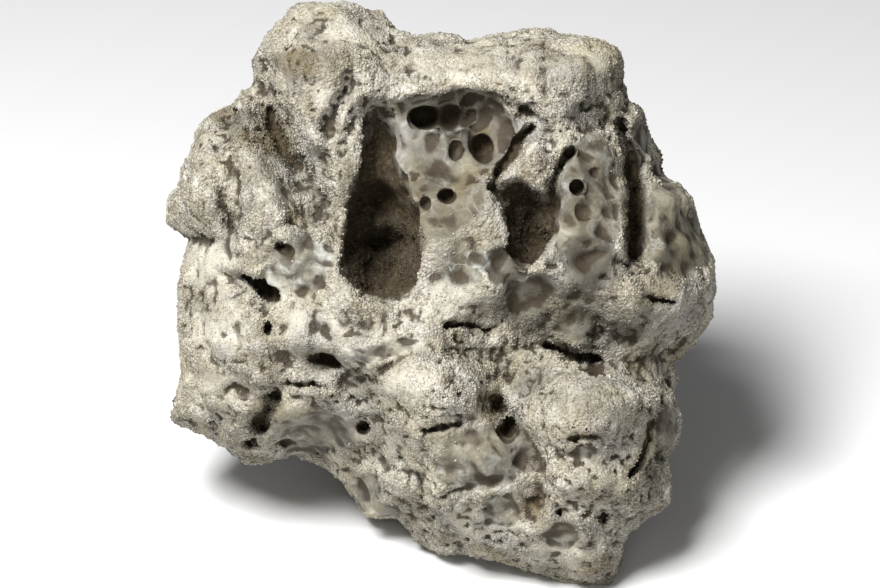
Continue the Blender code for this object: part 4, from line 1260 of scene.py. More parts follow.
def neighbour_mean(mesh, values, times):
    """Values at the vertices, smoothed over the edges that many times."""
    a, b = edge_ends(mesh)
    count = np.maximum(np.bincount(a, minlength=len(values)) + np.bincount(b, minlength=len(values)), 1)
    for _ in range(times):
        columns = []
        for column in values.T:
            total = np.bincount(a, column[b], len(column)) + np.bincount(b, column[a], len(column))
            columns.append(column * (1.0 - SMOOTHING) + total / count * SMOOTHING)
        values = np.column_stack(columns)
    return values


class Finish(NamedTuple):
    """What a place on the stone is like: each value is 0 where it has none and about 1 where it is full."""

    bare: np.ndarray
    dish: np.ndarray
    ridge: np.ndarray
    fine: np.ndarray
    # dark: dark grey stone, and painted shade over recesses, slots and undersides
    dark: np.ndarray
    # hollow: how deep in a hollow a point lies, which the materials paint as shade
    hollow: np.ndarray
    # stain: brown stains, and painted shade in some slots and recesses
    stain_and_shade: np.ndarray
    calcite: np.ndarray


def most(u, v, patches):
    """The strongest of the patches at each point."""
    value = np.zeros(u.shape)
    for patch in patches:
        at = near(u, v, (patch.at,), max(patch.reach))
        value[at] = np.maximum(value[at], inside_ellipse(u[at], v[at], patch) * patch.amount)
    return value


def worn_dishes(face, where):
    """How deep in a worn dish each point lies, and how near to a ridge between two dishes."""
    share = drifting(face, DISH_DRIFT)[where]
    middle = cell_middles((face + wander(face, DISH_WAVERS))[where], DISH_SIZE, 68)
    dish, ridge = np.zeros(len(face)), np.zeros(len(face))
    dish[where] = smooth_step(middle) * share
    ridge[where] = smooth_step(1.0 - middle / RIDGE_SHARE) * share
    return dish, ridge


def stone_finish(face):
    """Finish at points given on the face plane's axes."""
    u, v = (face[:, :2] + wander(face, EDGE_WAVERS)).T
    w = face[:, 2]
    front_depth = pebble_height(u, v, FRONT_THICKNESS) + face_relief(u, v) - w
    back_depth = w - pebble_height(u, v, -BACK_THICKNESS) + back_relief(u, v)
    on_face = front_depth < back_depth
    from_rim = 1.0 - np.hypot(u, v) / by_angle(OUTER, np.degrees(np.arctan2(v, u)))
    # depth under the face, which the materials paint as dark brown shade in hollows
    hollow = rising(np.minimum(front_depth, back_depth), *HOLLOW_SHADE_RISE) * rising(from_rim, *RIM_RISE)
    lost = rising(layered_noise(face, BACK_LOSS_SIZE, 2, 71), *BACK_LOSS)
    bare = np.where(on_face, most(u, v, FACE_BARE), np.maximum(most(-u, v, BACK_BARE), lost))
    dish, ridge = worn_dishes(face, bare > LEAST_BARE)
    fine = np.where(on_face, most(u, v, FACE_FINE), drifting(face, BACK_FINE))
    # dark grey stone, and painted shade over recesses, slots and undersides
    dark = np.where(on_face, most(u, v, FACE_DARK_AND_SHADE), drifting(face, BACK_DARK))
    stain_and_shade = np.where(on_face, most(u, v, FACE_STAINS_AND_SHADE), drifting(face, BACK_STAINS))
    white = np.maximum(most(u, v, FACE_CALCITE), groove_depth(u, v, FACE_VEINS))
    calcite = np.where(on_face, white, drifting(face, BACK_CALCITE))
    return Finish(bare, dish, ridge, fine, dark, hollow, stain_and_shade, np.clip(calcite, 0.0, 1.0))


def raise_crust(mesh, sizes):
    """Moves the vertices along their normals: a crust with its own relief over smoother stone."""
    places = vertex_places(mesh)
    face = to_face(places)
    finish = stone_finish(face)
    large = np.abs(noise(face, KNOB_SIZE, 81))
    small = np.abs(noise(face, SMALL_KNOB_SIZE, 82))
    knobs = large + SMALL_KNOBS * small - KNOB_LEVEL
    pits = rising(noise(face, PIT_SIZE, 83), *PIT_EDGE) * drifting(face, PIT_DRIFT)
    relief = knobs * sizes.crust_relief / MM - pits * sizes.pit_depth / MM
    crust = sizes.crust_thickness / MM + (1.0 - FINE_CALM * finish.fine) * relief
    waves = np.abs(noise(face, WAVE_SIZE, 84)) * WAVE_HEIGHT
    worn = waves - finish.dish * sizes.dish_depth / MM
    lift = (1.0 - finish.bare) * crust + finish.bare * worn
    lift -= sizes.crust_thickness / MM * CRUST_SUNK
    move_vertices(mesh, places + vertex_normals(mesh) * (lift * MM)[:, None])


def drop_crumbs(mesh):
    """Removes every small part that isn't joined to the stone."""
    a, b = edge_ends(mesh)
    part, before = np.arange(len(mesh.vertices)), None
    while before is None or (part != before).any():
        before = part.copy()
        lowest = np.minimum(part[a], part[b])
        np.minimum.at(part, a, lowest)
        np.minimum.at(part, b, lowest)
        part = part[part]
    whole = np.bincount(part).argmax()
    work = bmesh.new()
    work.from_mesh(mesh)
    crumbs = [vertex for vertex, place in zip(work.verts, part) if place != whole]
    bmesh.ops.delete(work, geom=crumbs, context="VERTS")
    work.to_mesh(mesh)
    work.free()


def hold_in_box(places):
    """Keeps points inside the CAD model's box."""
    low, high = (np.array(corner) for corner in CAD_BOX)
    return np.clip(places, low, high)


def store(mesh, name, values):
    layer = mesh.attributes.new(name, "FLOAT", "POINT")
    layer.data.foreach_set("value", values.astype(np.float32))


def sunk_under(level, places, normals):
    """How far each place lies under a smoothed level, in millimetres."""
    return np.einsum("ij,ij->i", level - places, normals) / MM


def store_finish(mesh):
    """Keeps what the materials read: the finish, how deep each vertex lies, and how far it faces up, from
    which they paint shade in creases, in valleys and on undersides.
    """
    places = vertex_places(mesh)
    normals = vertex_normals(mesh)
    for name, values in stone_finish(to_face(places))._asdict().items():
        store(mesh, name, values)
    # cavity: how far a vertex is sunk under its neighbours, which the materials paint as shade in creases
    level = neighbour_mean(mesh, places, CAVITY_STEPS)
    cavity = sunk_under(level, places, normals)
    store(mesh, "cavity", np.clip(0.5 + cavity * CAVITY_GAIN, 0.0, 1.0))
    # how far each vertex lies under the broad surface, which the materials paint as shade in valleys
    broad_level = neighbour_mean(mesh, level, VALLEY_STEPS)
    broad_normals = neighbour_mean(mesh, normals, VALLEY_NORMAL_STEPS)
    valley = sunk_under(broad_level, places, broad_normals)
    store(mesh, "valley", np.clip(0.5 + valley / VALLEY_RANGE, 0.0, 1.0))
    # how far the smoothed surface faces up; the materials paint shade on the undersides
    slope = neighbour_mean(mesh, normals, SLOPE_STEPS)
    slope /= np.maximum(np.linalg.norm(slope, axis=1), 1e-6)[:, None]
    store(mesh, "facing_up", rising(slope[:, 2], *FACING_UP_RISE))


def make_stone(sizes):
    """The stone's mesh with its crust, cut flat underneath."""
    directions, faces = sphere_directions(PEBBLE_SUBDIVISIONS)
    points = to_world(stone_points(directions, sizes.lump_height / MM))
    raw = new_object("raw_stone", new_mesh("raw_stone", points, faces))
    remesh(raw, "one skin", STONE_VOXEL)
    cutter = make_cutter()
    cut_away(raw, "hollows", cutter)
    remesh(raw, "even faces", STONE_VOXEL)
    mesh = take_shape(raw, "bored_stone")
    remove(raw)
    remove(cutter)
    raise_crust(mesh, sizes)
    rough = new_object("rough_stone", mesh)
    thin = rough.modifiers.new("fewer faces", "DECIMATE")
    triangles = sum(len(face.vertices) - 2 for face in mesh.polygons)
    thin.ratio = min(1.0, STONE_TRIANGLES / triangles)
    thin.use_collapse_triangulate = True
    stone = take_shape(rough, "bored_stone")
    remove(rough)
    drop_crumbs(stone)
    move_vertices(stone, hold_in_box(vertex_places(stone)))
    store_finish(stone)
    stone.shade_smooth()
    return stone


OCTAHEDRON = np.array([(1, 0, 0), (-1, 0, 0), (0, 1, 0), (0, -1, 0), (0, 0, 1), (0, 0, -1)], float)
OCTAHEDRON_FACES = np.array(
    [(0, 2, 4), (2, 1, 4), (1, 3, 4), (3, 0, 4), (2, 0, 5), (1, 2, 5), (3, 1, 5), (0, 3, 5)]
)


def triangle_samples(mesh, count, rng):
    """Points on a triangle mesh, weighted by area and crust, with their triangle and place in it."""
    mesh.calc_loop_triangles()
    corners = np.empty(len(mesh.loop_triangles) * 3, np.int32)
    mesh.loop_triangles.foreach_get("vertices", corners)
    corners = corners.reshape(-1, 3)
    a, b, c = vertex_places(mesh)[corners].transpose(1, 0, 2)
    area = np.linalg.norm(np.cross(b - a, c - a), axis=1)
    bare = read(mesh, "bare")[corners].mean(axis=1)
    low = np.minimum(np.minimum(a[:, 2], b[:, 2]), c[:, 2]) < GROUND_GAP * MM
    closely = drifting((a + b + c) / (3.0 * MM), GRAIN_DRIFT) + THINLY_SET
    crusted = np.clip(1.0 - bare * BARE_REACH, 0.0, 1.0) ** THINNING
    weight = area * (crusted * closely + STRAY_GRAINS) * ~low
    chosen = rng.choice(len(corners), count, p=weight / weight.sum())
    share = rng.random((count, 2))
    share = np.where(share.sum(axis=1, keepdims=True) > 1.0, 1.0 - share, share)
    mix = np.column_stack([1.0 - share.sum(axis=1), share])
    return corners[chosen], mix


def read(mesh, name):
    values = np.empty(len(mesh.vertices), np.float32)
    mesh.attributes[name].data.foreach_get("value", values)
    return values.astype(float)


def turned_at_random(count, rng):
    """Random rotations as matrices."""
    turns = rng.normal(size=(4, count))
    w, x, y, z = turns / np.linalg.norm(turns, axis=0)
    rows = [
        [1 - 2 * (y * y + z * z), 2 * (x * y - w * z), 2 * (x * z + w * y)],
        [2 * (x * y + w * z), 1 - 2 * (x * x + z * z), 2 * (y * z - w * x)],
        [2 * (x * z - w * y), 2 * (y * z + w * x), 1 - 2 * (x * x + y * y)],
    ]
    return np.array(rows).transpose(2, 0, 1)


def make_grains(name, stone, sizes, seed):
    """Crust grains as one mesh: small stones half sunk in the crust."""
    rng = np.random.default_rng(seed)
    tips = len(OCTAHEDRON)
    corners, mix = triangle_samples(stone, GRAINS_A_PIECE, rng)
    places = (vertex_places(stone)[corners] * mix[:, :, None]).sum(axis=1)
    normals = (vertex_normals(stone)[corners] * mix[:, :, None]).sum(axis=1)
    fine = (read(stone, "fine")[corners] * mix).sum(axis=1)
    spread = rng.random(GRAINS_A_PIECE) ** GRAIN_SPREAD
    radius = sizes.smallest + (sizes.largest - sizes.smallest) * spread * (1.0 - FINE_CALM * fine)
    lengths = radius[:, None, None] * rng.uniform(*GRAIN_SHAPES, (GRAINS_A_PIECE, tips, 1))
    turned = np.einsum("nij,nkj->nki", turned_at_random(GRAINS_A_PIECE, rng), OCTAHEDRON * lengths)
    centre = places + normals * (radius * sizes.stand_out)[:, None]
    points = hold_in_box((centre[:, None, :] + turned).reshape(-1, 3))
    faces = OCTAHEDRON_FACES[None] + tips * np.arange(GRAINS_A_PIECE)[:, None, None]
    mesh = new_mesh(name, points, faces.reshape(-1, 3))
    mesh.shade_smooth()
    for layer in ("hollow", "stain_and_shade", "cavity", "fine", "dark", "facing_up", "valley"):
        value = (read(stone, layer)[corners] * mix).sum(axis=1)
        store(mesh, layer, np.repeat(value, tips))
    store(mesh, "shade", np.repeat(rng.random(GRAINS_A_PIECE), tips))
    return mesh


class Nodes:
    """Places and joins nodes in one tree."""

    def __init__(self, tree):
        self.tree = tree
        self.column = 0

    def add(self, kind, **settings):
        node = self.tree.nodes.new(kind)
        self.column += 1
        node.location = (180 * (self.column % 12) - 1400, -260 * (self.column // 12))
        for name, value in settings.items():
            setattr(node, name, value)
        return node

    def join(self, out, into):
        self.tree.links.new(out, into)

    def value(self, socket, given):
        """Joins a socket to another, or sets it to a constant."""
        if isinstance(given, bpy.types.NodeSocket):
            self.join(given, socket)
        else:
            socket.default_value = given

    def attribute(self, name):
        return self.add("ShaderNodeAttribute", attribute_name=name).outputs["Fac"]

    def places(self):
        return self.add("ShaderNodeTexCoord").outputs["Object"]

    def noise(self, scale, places, detail=2.0, roughness=0.5):
        """A noise texture laid on the places, with so many features a metre."""
        node = self.add("ShaderNodeTexNoise")
        node.inputs["Scale"].default_value = scale
        node.inputs["Detail"].default_value = detail
        node.inputs["Roughness"].default_value = roughness
        self.join(places, node.inputs["Vector"])
        return node.outputs

    def bent(self, places, scale, reach, detail=2.0):
        """The places pushed about by noise, so that a pattern laid on them isn't regular."""
        bend = self.noise(scale, places, detail)
        shift = self.add("ShaderNodeVectorMath", operation="MULTIPLY_ADD")
        self.join(bend["Color"], shift.inputs[0])
        shift.inputs[1].default_value = (reach,) * 3
        self.join(places, shift.inputs[2])
        return shift.outputs[0]

    def voronoi(self, feature, size, places):
        node = self.add("ShaderNodeTexVoronoi", feature=feature)
        node.inputs["Scale"].default_value = 1.0 / size
        self.join(places, node.inputs["Vector"])
        return node.outputs

    def pattern(self, given, places):
        noise = self.noise(1.0 / given.size, places, given.detail, given.roughness)
        return self.band(noise["Fac"], given.low, given.high)

    def uneven(self, size, places, detail=4.0):
        """Noise with features about size metres wide, from -0.5 to 0.5."""
        return self.minus(self.noise(1.0 / size, places, detail, 0.6)["Fac"], 0.5)

    def veins(self, size, places):
        """Thin wandering lines round cells about size metres wide, broken in places."""
        cells = self.voronoi("DISTANCE_TO_EDGE", size, self.bent(places, 0.6 / size, size * 1.6, 4.0))
        line = self.band(cells["Distance"], 0.07, 0.0)
        return self.times(line, self.pattern(VEIN_BREAKS, places))

    def granules(self, size, places):
        """Round granules about size metres wide: distance from a granule's middle, and its own tint."""
        cells = self.voronoi("F1", size, self.bent(places, 0.7 / size, size * 0.9))
        parts = self.add("ShaderNodeSeparateColor")
        self.join(cells["Color"], parts.inputs[0])
        return cells["Distance"], parts.outputs[0]

    def math(self, operation, a, b):
        node = self.add("ShaderNodeMath", operation=operation)
        self.value(node.inputs[0], a)
        self.value(node.inputs[1], b)
        return node.outputs[0]

    def times(self, a, b):
        return self.math("MULTIPLY", a, b)

    def plus(self, a, b):
        return self.math("ADD", a, b)

    def minus(self, a, b):
        return self.math("SUBTRACT", a, b)

    def larger(self, a, b):
        return self.math("MAXIMUM", a, b)

    def rest(self, a):
        """What is missing from 1."""
        return self.minus(1.0, a)

    def mix(self, share, a, b):
        node = self.add("ShaderNodeMix", data_type="RGBA")
        self.value(node.inputs[0], share)
        self.value(node.inputs[6], a)
        self.value(node.inputs[7], b)
        return node.outputs[2]

    def band(self, value, low, high):
        """0 at low and 1 at high, smooth between."""
        node = self.add("ShaderNodeMapRange", interpolation_type="SMOOTHSTEP")
        self.join(value, node.inputs["Value"])
        node.inputs["From Min"].default_value = low
        node.inputs["From Max"].default_value = high
        return node.outputs[0]

    def give(self, **results):
        """Joins a group's results to its outputs."""
        out = self.add("NodeGroupOutput")
        for name, result in results.items():
            self.join(result, out.inputs[name])


COLOUR = "NodeSocketColor"
NUMBER = "NodeSocketFloat"
PLAIN_GREY = (0.5, 0.5, 0.5, 1.0)


def new_group(name, inputs, outputs):
    """A shader group with named sockets: its tree, its nodes and what it is given."""
    tree = bpy.data.node_groups.new(name, "ShaderNodeTree")
    for label, default in inputs.items():
        kind = NUMBER if isinstance(default, float) else COLOUR
        tree.interface.new_socket(label, in_out="INPUT", socket_type=kind).default_value = default
    for label, kind in outputs.items():
        tree.interface.new_socket(label, in_out="OUTPUT", socket_type=kind)
    nodes = Nodes(tree)
    return tree, nodes, nodes.add("NodeGroupInput").outputs


def make_mottle_group():
    """Drifts a colour towards a warm and a cool tint in patches of two sizes."""
    inputs = {"Color": PLAIN_GREY, "Warm": PLAIN_GREY, "Cool": PLAIN_GREY, "Amount": 0.5}
    tree, nodes, given = new_group("mineral mottle", inputs, {"Color": COLOUR})
    places = nodes.places()
    warm = nodes.pattern(WARM_DRIFTS, places)
    cool = nodes.pattern(COOL_DRIFTS, places)
    warmed = nodes.mix(nodes.times(warm, given["Amount"]), given["Color"], given["Warm"])
    cooled = nodes.mix(nodes.times(cool, given["Amount"]), warmed, given["Cool"])
    nodes.give(Color=cooled)
    return tree


def make_crust_group():
    """The gritty crust's colour, pale or earthy in patches, with dark specks in clusters."""
    inputs = {"Ground": PLAIN_GREY, "Pale": PLAIN_GREY, "Speck": PLAIN_GREY, "Fine": 0.0}
    tree, nodes, given = new_group("gritty crust", inputs, {"Color": COLOUR, "Height": NUMBER})
    places = nodes.places()
    patches = nodes.pattern(CRUST_PATCHES, places)
    blotches = nodes.pattern(CRUST_BLOTCHES, places)
    share = nodes.plus(nodes.times(patches, PALE_PATCHES), nodes.times(blotches, 1.0 - PALE_PATCHES))
    coats = nodes.pattern(CRUST_COATS, places)
    fine = nodes.larger(given["Fine"], nodes.times(coats, PALE_COATS))
    pale = nodes.larger(share, nodes.times(fine, FINE_PALENESS))
    ground = nodes.mix(pale, given["Ground"], given["Pale"])
    distance, tint = nodes.granules(CRUST_GRANULES, places)
    darker = nodes.mix(DARK_GRANULES, ground, given["Speck"])
    lighter = nodes.mix(LIGHT_GRANULES, ground, given["Pale"])
    granules = nodes.mix(nodes.times(fine, FINE_EVENNESS), nodes.mix(tint, darker, lighter), ground)
    clusters = nodes.pattern(SPECK_CLUSTERS, places)
    coarse = nodes.rest(nodes.times(fine, FINE_CLEANNESS))
    gap = nodes.band(nodes.plus(distance, nodes.times(clusters, GAP_CLUSTERS)), *GAP_BAND)
    worn = nodes.times(nodes.pattern(WORN_SPOTS, places), clusters)
    specks = nodes.times(nodes.larger(nodes.times(gap, GAP_DARKNESS), worn), SPECK_DARKNESS)
    specked = nodes.mix(nodes.times(specks, coarse), granules, given["Speck"])
    nodes.give(Color=specked, Height=nodes.times(nodes.rest(distance), coarse))
    return tree


def make_stain_and_shade_group():
    """Stains, and painted brown shade where the stone is hollow or creased."""
    inputs = {"Color": PLAIN_GREY, "Grime": PLAIN_GREY, "Stain Tint": PLAIN_GREY,
              "Hollow": 0.0, "Cavity": 0.5, "Stain": 0.0}
    tree, nodes, given = new_group("stains and painted shade", inputs, {"Color": COLOUR})
    places = nodes.places()
    patchy = nodes.pattern(GRIME_PATCHES, places)
    share = nodes.plus(nodes.times(patchy, STAIN_PATCHES), LEAST_STAIN)
    stained = nodes.mix(nodes.times(given["Stain"], share), given["Color"], given["Stain Tint"])
    # painted shade in creases
    crease = nodes.times(nodes.band(given["Cavity"], *CREASE_BAND), CREASE_SHADE)
    creased = nodes.mix(crease, stained, given["Grime"])
    # painted shade deep in hollows, made gritty with the stain's brown
    grit = nodes.times(nodes.pattern(SHADE_GRIT, places), HOLLOW_GRIT)
    hollow_shade = nodes.mix(grit, given["Grime"], given["Stain Tint"])
    nodes.give(Color=nodes.mix(nodes.times(given["Hollow"], HOLLOW_SHADE), creased, hollow_shade))
    return tree


def group_outputs(nodes, tree, **inputs):
    """Places a group with its values, and gives its outputs."""
    node = nodes.add("ShaderNodeGroup", node_tree=tree)
    for name, given in inputs.items():
        nodes.value(node.inputs[name.replace("_", " ")], given)
    return node.outputs


def crust_outputs(nodes, colours, crust):
    return group_outputs(nodes, crust, Ground=tuple(colours.crust_ground), Pale=tuple(colours.crust_pale),
                         Speck=tuple(colours.crust_speck), Fine=nodes.attribute("fine"))


def painted_shade_and_stains(nodes, colours, groups, colour):
    """A colour darkened in dark zones, which are partly painted shade, and with painted shade in valleys and
    on undersides; mineral drifts over it, then stains and the painted shade of creases and hollows.
    """
    patchy = nodes.uneven(SHADE_PATCHES, nodes.places())
    facing = nodes.plus(nodes.attribute("facing_up"), nodes.times(patchy, UNDER_PATCHES))
    sunk = nodes.plus(nodes.attribute("valley"), nodes.times(patchy, VALLEY_PATCHES))
    # painted shade on undersides, where the surface faces down
    under = nodes.times(nodes.band(facing, *UNDER_BAND), UNDER_SHADE)
    # painted shade in valleys
    low = nodes.times(nodes.band(sunk, *VALLEY_BAND), VALLEY_SHADE)
    # dark zones, partly dark stone and partly painted shade
    dark = nodes.larger(nodes.times(nodes.attribute("dark"), ZONE_SHADE), nodes.larger(under, low))
    uncovered = nodes.rest(nodes.times(nodes.attribute("calcite"), CALCITE_OVER_SHADE))
    shaded = nodes.mix(nodes.times(dark, uncovered), colour, tuple(colours.limestone_dark_and_shade))
    drifted = group_outputs(nodes, groups["mottle"], Color=shaded, Warm=tuple(colours.warm),
                            Cool=tuple(colours.cool), Amount=MOTTLE_AMOUNT)
    stained_and_shaded = group_outputs(nodes, groups["grime_and_shade"], Color=drifted["Color"], Grime=tuple(colours.grime_and_shade),
                          Stain_Tint=tuple(colours.stain_and_shade), Hollow=nodes.attribute("hollow"),
                          Cavity=nodes.attribute("cavity"), Stain=nodes.attribute("stain_and_shade"))
    return stained_and_shaded["Color"]


def new_material(name, roughness):
    material = bpy.data.materials.new(name)
    material.use_nodes = True
    shader = material.node_tree.nodes["Principled BSDF"]
    shader.inputs["Roughness"].default_value = roughness
    shader.inputs["Specular IOR Level"].default_value = 0.3
    return material, Nodes(material.node_tree), shader


def bare_colour(nodes, colours, places):
    """Clouded grey limestone with painted shade in its dishes, with calcite on ridges, in patches and in
    veins.
    """
    dark = tuple(colours.limestone_dark_and_shade)
    calcite = tuple(colours.calcite)
    clouds = nodes.pattern(STONE_CLOUDS, places)
    broken = nodes.pattern(STONE_BREAKS, places)
    flecks = nodes.pattern(STONE_FLECKS, places)
    ridges = nodes.times(nodes.attribute("ridge"), nodes.times(broken, RIDGE_WHITE))
    flawed = nodes.plus(nodes.times(broken, BROKEN_WHITE), LEAST_WHITE)
    smooth = nodes.mix(clouds, dark, tuple(colours.limestone))
    # painted shade in the middles of the dishes
    smooth = nodes.mix(nodes.times(nodes.attribute("dish"), DISH_SHADE), smooth, dark)
    smooth = nodes.mix(ridges, smooth, calcite)
    smooth = nodes.mix(nodes.times(flecks, FLECK_SHADE), smooth, dark)
    smooth = nodes.mix(nodes.times(nodes.attribute("calcite"), flawed), smooth, calcite)
    return nodes.mix(nodes.times(nodes.veins(STONE_VEINS, places), VEIN_WHITE), smooth, calcite)


def stone_material(colours, groups):
    """Smooth grey limestone with calcite, and the ground of the gritty crust."""
    material, nodes, shader = new_material("bored limestone", 0.8)
    places = nodes.places()
    crust = crust_outputs(nodes, colours, groups["crust"])
    ragged = nodes.plus(nodes.attribute("bare"), nodes.uneven(CRUST_FRAY, places, 3.0))
    showing = nodes.band(ragged, *BARE_BAND)
    base = nodes.mix(showing, crust["Color"], bare_colour(nodes, colours, places))
    nodes.join(painted_shade_and_stains(nodes, colours, groups, base), shader.inputs["Base Color"])
    rough = nodes.minus(CRUST_ROUGHNESS, nodes.times(showing, BARE_SMOOTHNESS))
    nodes.join(rough, shader.inputs["Roughness"])
    grit = nodes.times(crust["Height"], nodes.rest(showing))
    dents = nodes.times(nodes.noise(1.0 / STONE_DENTS, places, 5.0, 0.65)["Fac"], DENT_HEIGHT)
    bump = nodes.add("ShaderNodeBump")
    bump.inputs["Strength"].default_value = BUMP_STRENGTH
    bump.inputs["Distance"].default_value = BUMP_DEPTH
    nodes.join(nodes.plus(grit, dents), bump.inputs["Height"])
    nodes.join(bump.outputs["Normal"], shader.inputs["Normal"])
    return material


def grain_material(colours, groups):
    """Sand grains in the crust's colours, each lighter or darker than the crust round it."""
    material, nodes, shader = new_material("crust grit", 0.9)
    crust = crust_outputs(nodes, colours, groups["crust"])
    shade = nodes.attribute("shade")
    paler = nodes.times(nodes.band(shade, *PALE_GRAIN_BAND), PALE_GRAINS)
    darker = nodes.times(nodes.band(shade, *DARK_GRAIN_BAND), DARK_GRAINS)
    colour = nodes.mix(paler, crust["Color"], tuple(colours.grain_light))
    colour = nodes.mix(darker, colour, tuple(colours.grain_dark))
    nodes.join(painted_shade_and_stains(nodes, colours, groups, colour), shader.inputs["Base Color"])
    return material


def colour_property(name, description, default):
    return FloatVectorProperty(name=name, description=description, default=default, size=4, min=0.0,
                               max=1.0, subtype="COLOR")


def length_property(name, description, default):
    return FloatProperty(name=name, description=description, default=default, min=0.0, unit="LENGTH",
                         subtype="DISTANCE", precision=5)


class RockSizes(bpy.types.PropertyGroup):
    """Sizes of the stone's relief."""

    lump_height: length_property("Lump Height", "How high the stone's rounded lumps stand", 4.5 * MM)
    crust_thickness: length_property("Crust Thickness", "Step from the crust to the bare stone", 0.9 * MM)
    crust_relief: length_property("Crust Relief", "How uneven the crust is", 1.0 * MM)
    pit_depth: length_property("Pit Depth", "Depth of the small pits in the crust", 1.1 * MM)
    dish_depth: length_property("Dish Depth", "Depth of the dishes worn in the bare stone", 1.3 * MM)


class GrainSizes(bpy.types.PropertyGroup):
    """Sizes of the grains in the crust."""

    smallest: length_property("Smallest Grain", "Radius of the smallest grains", 0.18 * MM)
    largest: length_property("Largest Grain", "Radius of the largest grains", 0.5 * MM)
    stand_out: FloatProperty(
        name="Stand Out", description="How far a grain's middle stands out of the crust, in radii",
        default=0.25, min=0.0, max=1.0, subtype="FACTOR")


class RockColours(bpy.types.PropertyGroup):
    """Colours of the stone, its crust, its stains and the painted shade on it."""

    limestone: colour_property("Limestone", "Smooth bare stone", (0.235, 0.215, 0.162, 1))
    # this colour also makes the painted shade of undersides, valleys, dark zones and dishes
    limestone_dark_and_shade: colour_property("Dark Limestone", "Darker clouds in bare stone", (0.07, 0.063, 0.047, 1))
    calcite: colour_property("Calcite", "White patches and veins", (0.56, 0.57, 0.54, 1))
    crust_ground: colour_property("Crust", "Earthy ground of the crust", (0.33, 0.29, 0.208, 1))
    crust_pale: colour_property("Pale Crust", "Pale crust", (0.545, 0.522, 0.45, 1))
    crust_speck: colour_property("Crust Specks", "Dark specks in the crust", (0.09, 0.075, 0.05, 1))
    warm: colour_property("Warm Tint", "Warm drifts of colour", (0.34, 0.3, 0.19, 1))
    cool: colour_property("Cool Tint", "Cool drifts of colour", (0.31, 0.30, 0.29, 1))
    # this colour tints stains, and the painted shade in slots and hollows
    stain_and_shade: colour_property("Stain", "Brown and olive stains", (0.13, 0.1, 0.05, 1))
    # this colour is the painted shade in hollows and creases
    grime_and_shade: colour_property("Grime", "Dirt in hollows and creases", (0.035, 0.024, 0.012, 1))
    grain_dark: colour_property("Dark Grains", "The darkest grains", (0.12, 0.1, 0.07, 1))
    grain_light: colour_property("Light Grains", "The palest grains", (0.46, 0.44, 0.39, 1))


class StageLook(bpy.types.PropertyGroup):
    """Floor and light of the studio."""

    floor: colour_property("Floor", "Colour of the studio floor", (0.8, 0.8, 0.8, 1))
    key_power: FloatProperty(name="Key Light", description="Power of the soft light above, in watts",
                             default=27.5, min=0.0, unit="POWER")
    fill_power: FloatProperty(name="Fill Light", description="Power of the light in front, in watts",
                              default=3.2, min=0.0, unit="POWER")
    sky: FloatProperty(name="Room Light", description="Strength of the even light all round",
                       default=0.1, min=0.0, subtype="FACTOR")
    floor_width: length_property("Floor Width", "Side of the square floor", 6.0)


def shared_groups():
    """The node groups that the materials share, made on first use."""
    groups = bpy.data.node_groups
    return {
        "crust": groups.get("gritty crust") or make_crust_group(),
        "mottle": groups.get("mineral mottle") or make_mottle_group(),
        "grime_and_shade": groups.get("stains and painted shade") or make_stain_and_shade_group(),
    }


class ROCK_OT_stone(bpy.types.Operator):
    """Build the bored limestone with its crust"""

    bl_idname = "aquarock.stone"
    bl_label = "Build Stone"

    def execute(self, context):
        mesh = make_stone(context.scene.rock_sizes)
        stone = new_object("bored_stone", mesh)
        mesh.materials.clear()
        mesh.materials.append(stone_material(context.scene.rock_colours, shared_groups()))
        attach(stone, "root")
        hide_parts("rock")
        return {"FINISHED"}


class ROCK_OT_grains(bpy.types.Operator):
    """Set the crust's grains into the stone"""

    bl_idname = "aquarock.grains"
    bl_label = "Set Crust Grains"

    pieces: IntProperty(name="Pieces", description="Number of meshes that share the grains", default=4,
                        min=1, max=8)

    def execute(self, context):
        stone = bpy.data.objects["bored_stone"].data
        material = grain_material(context.scene.rock_colours, shared_groups())
        for turn in range(self.pieces):
            name = f"crust_grit_{turn + 1}"
            mesh = make_grains(name, stone, context.scene.grain_sizes, GRAIN_SEED + turn)
            mesh.materials.append(material)
            grit = new_object(name, mesh)
            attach(grit, "root")
        return {"FINISHED"}


def add_light(name, place, size, power):
    light = bpy.data.lights.new(name, "AREA")
    light.energy = power
    light.size = size
    lamp = new_object(name, light)
    lamp.location = place
    lamp.rotation_euler = (Vector(LIGHT_AIM) - Vector(place)).to_track_quat("-Z", "Y").to_euler()


def add_camera():
    """The camera stands as far out of the face plane as the photograph's, and looks at its middle."""
    camera = bpy.data.cameras.new("camera")
    camera.lens = LENS
    camera.sensor_width = SENSOR
    camera.clip_end = FURTHEST
    thing = new_object("camera", camera)
    middle = Vector((*BOX_MIDDLE, FACE_HEIGHT)) * MM
    back = Vector((0.0, -math.cos(FACE_TILT), math.sin(FACE_TILT)))
    thing.location = middle + back * EYE_DISTANCE * MM
    thing.rotation_euler = (-back).to_track_quat("-Z", "Y").to_euler()
    bpy.context.scene.camera = thing


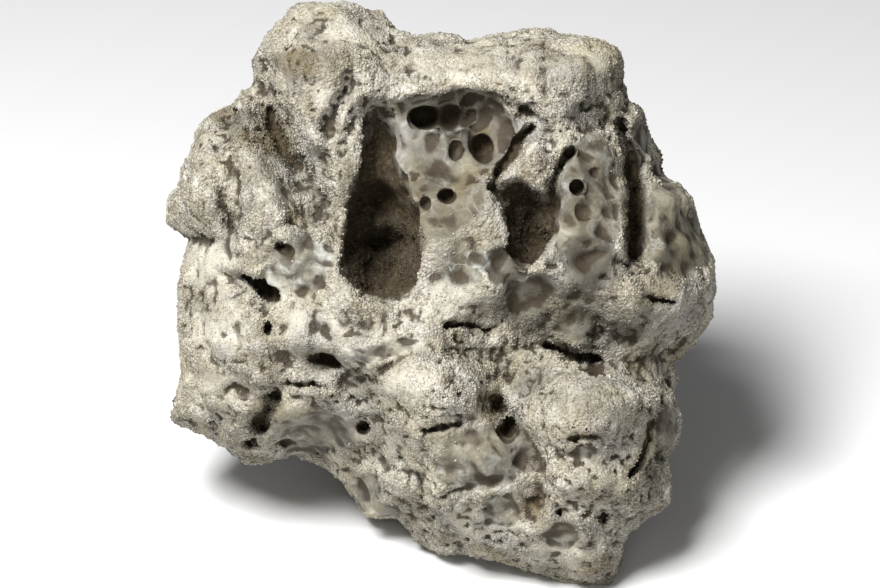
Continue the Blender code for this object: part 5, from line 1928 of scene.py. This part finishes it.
def add_floor(look):
    half = look.floor_width / 2
    corners = np.array([(-half, -half, 0), (half, -half, 0), (half, half, 0), (-half, half, 0)])
    mesh = new_mesh("floor", corners, np.array([[0, 1, 2, 3]]))
    material, _, shader = new_material("studio floor", 0.9)
    shader.inputs["Base Color"].default_value = tuple(look.floor)
    mesh.materials.append(material)
    new_object("floor", mesh)


class ROCK_OT_stage(bpy.types.Operator):
    """Set up the floor, the lights and the camera"""

    bl_idname = "aquarock.stage"
    bl_label = "Set Up Stage"

    def execute(self, context):
        look = context.scene.rock_stage
        add_floor(look)
        add_light("key_light", KEY_PLACE, KEY_SIZE, look.key_power)
        add_light("fill_light", FILL_PLACE, FILL_SIZE, look.fill_power)
        world = bpy.data.worlds.new("studio")
        world.use_nodes = True
        world.node_tree.nodes["Background"].inputs["Color"].default_value = (1.0, 1.0, 1.0, 1.0)
        world.node_tree.nodes["Background"].inputs["Strength"].default_value = look.sky
        context.scene.world = world
        context.scene.view_settings.view_transform = "Standard"
        add_camera()
        return {"FINISHED"}


class ROCK_PT_panel(bpy.types.Panel):
    """Lists the rock's pieces and their settings"""

    bl_idname = "ROCK_PT_panel"
    bl_label = "Aquascaping Rock"
    bl_space_type = "VIEW_3D"
    bl_region_type = "UI"
    bl_category = "Rock"

    def draw(self, context):
        for group in GROUPS:
            box = self.layout.box()
            box.label(text=group)
            settings = getattr(context.scene, group)
            for name in settings.__annotations__:
                box.prop(settings, name)
        for operator in OPERATORS:
            self.layout.operator(operator.bl_idname)


OPERATORS = (ROCK_OT_stone, ROCK_OT_grains, ROCK_OT_stage)
GROUPS = {
    "rock_sizes": RockSizes,
    "grain_sizes": GrainSizes,
    "rock_colours": RockColours,
    "rock_stage": StageLook,
}
CLASSES = (*GROUPS.values(), *OPERATORS, ROCK_PT_panel)


def register():
    for kind in CLASSES:
        bpy.utils.register_class(kind)
    for name, kind in GROUPS.items():
        setattr(bpy.types.Scene, name, PointerProperty(type=kind))


def unregister():
    for name in GROUPS:
        delattr(bpy.types.Scene, name)
    for kind in reversed(CLASSES):
        bpy.utils.unregister_class(kind)


def main():
    register()
    bpy.ops.aquarock.stone()
    bpy.ops.aquarock.grains()
    bpy.ops.aquarock.stage()


if __name__ == "__main__":
    main()
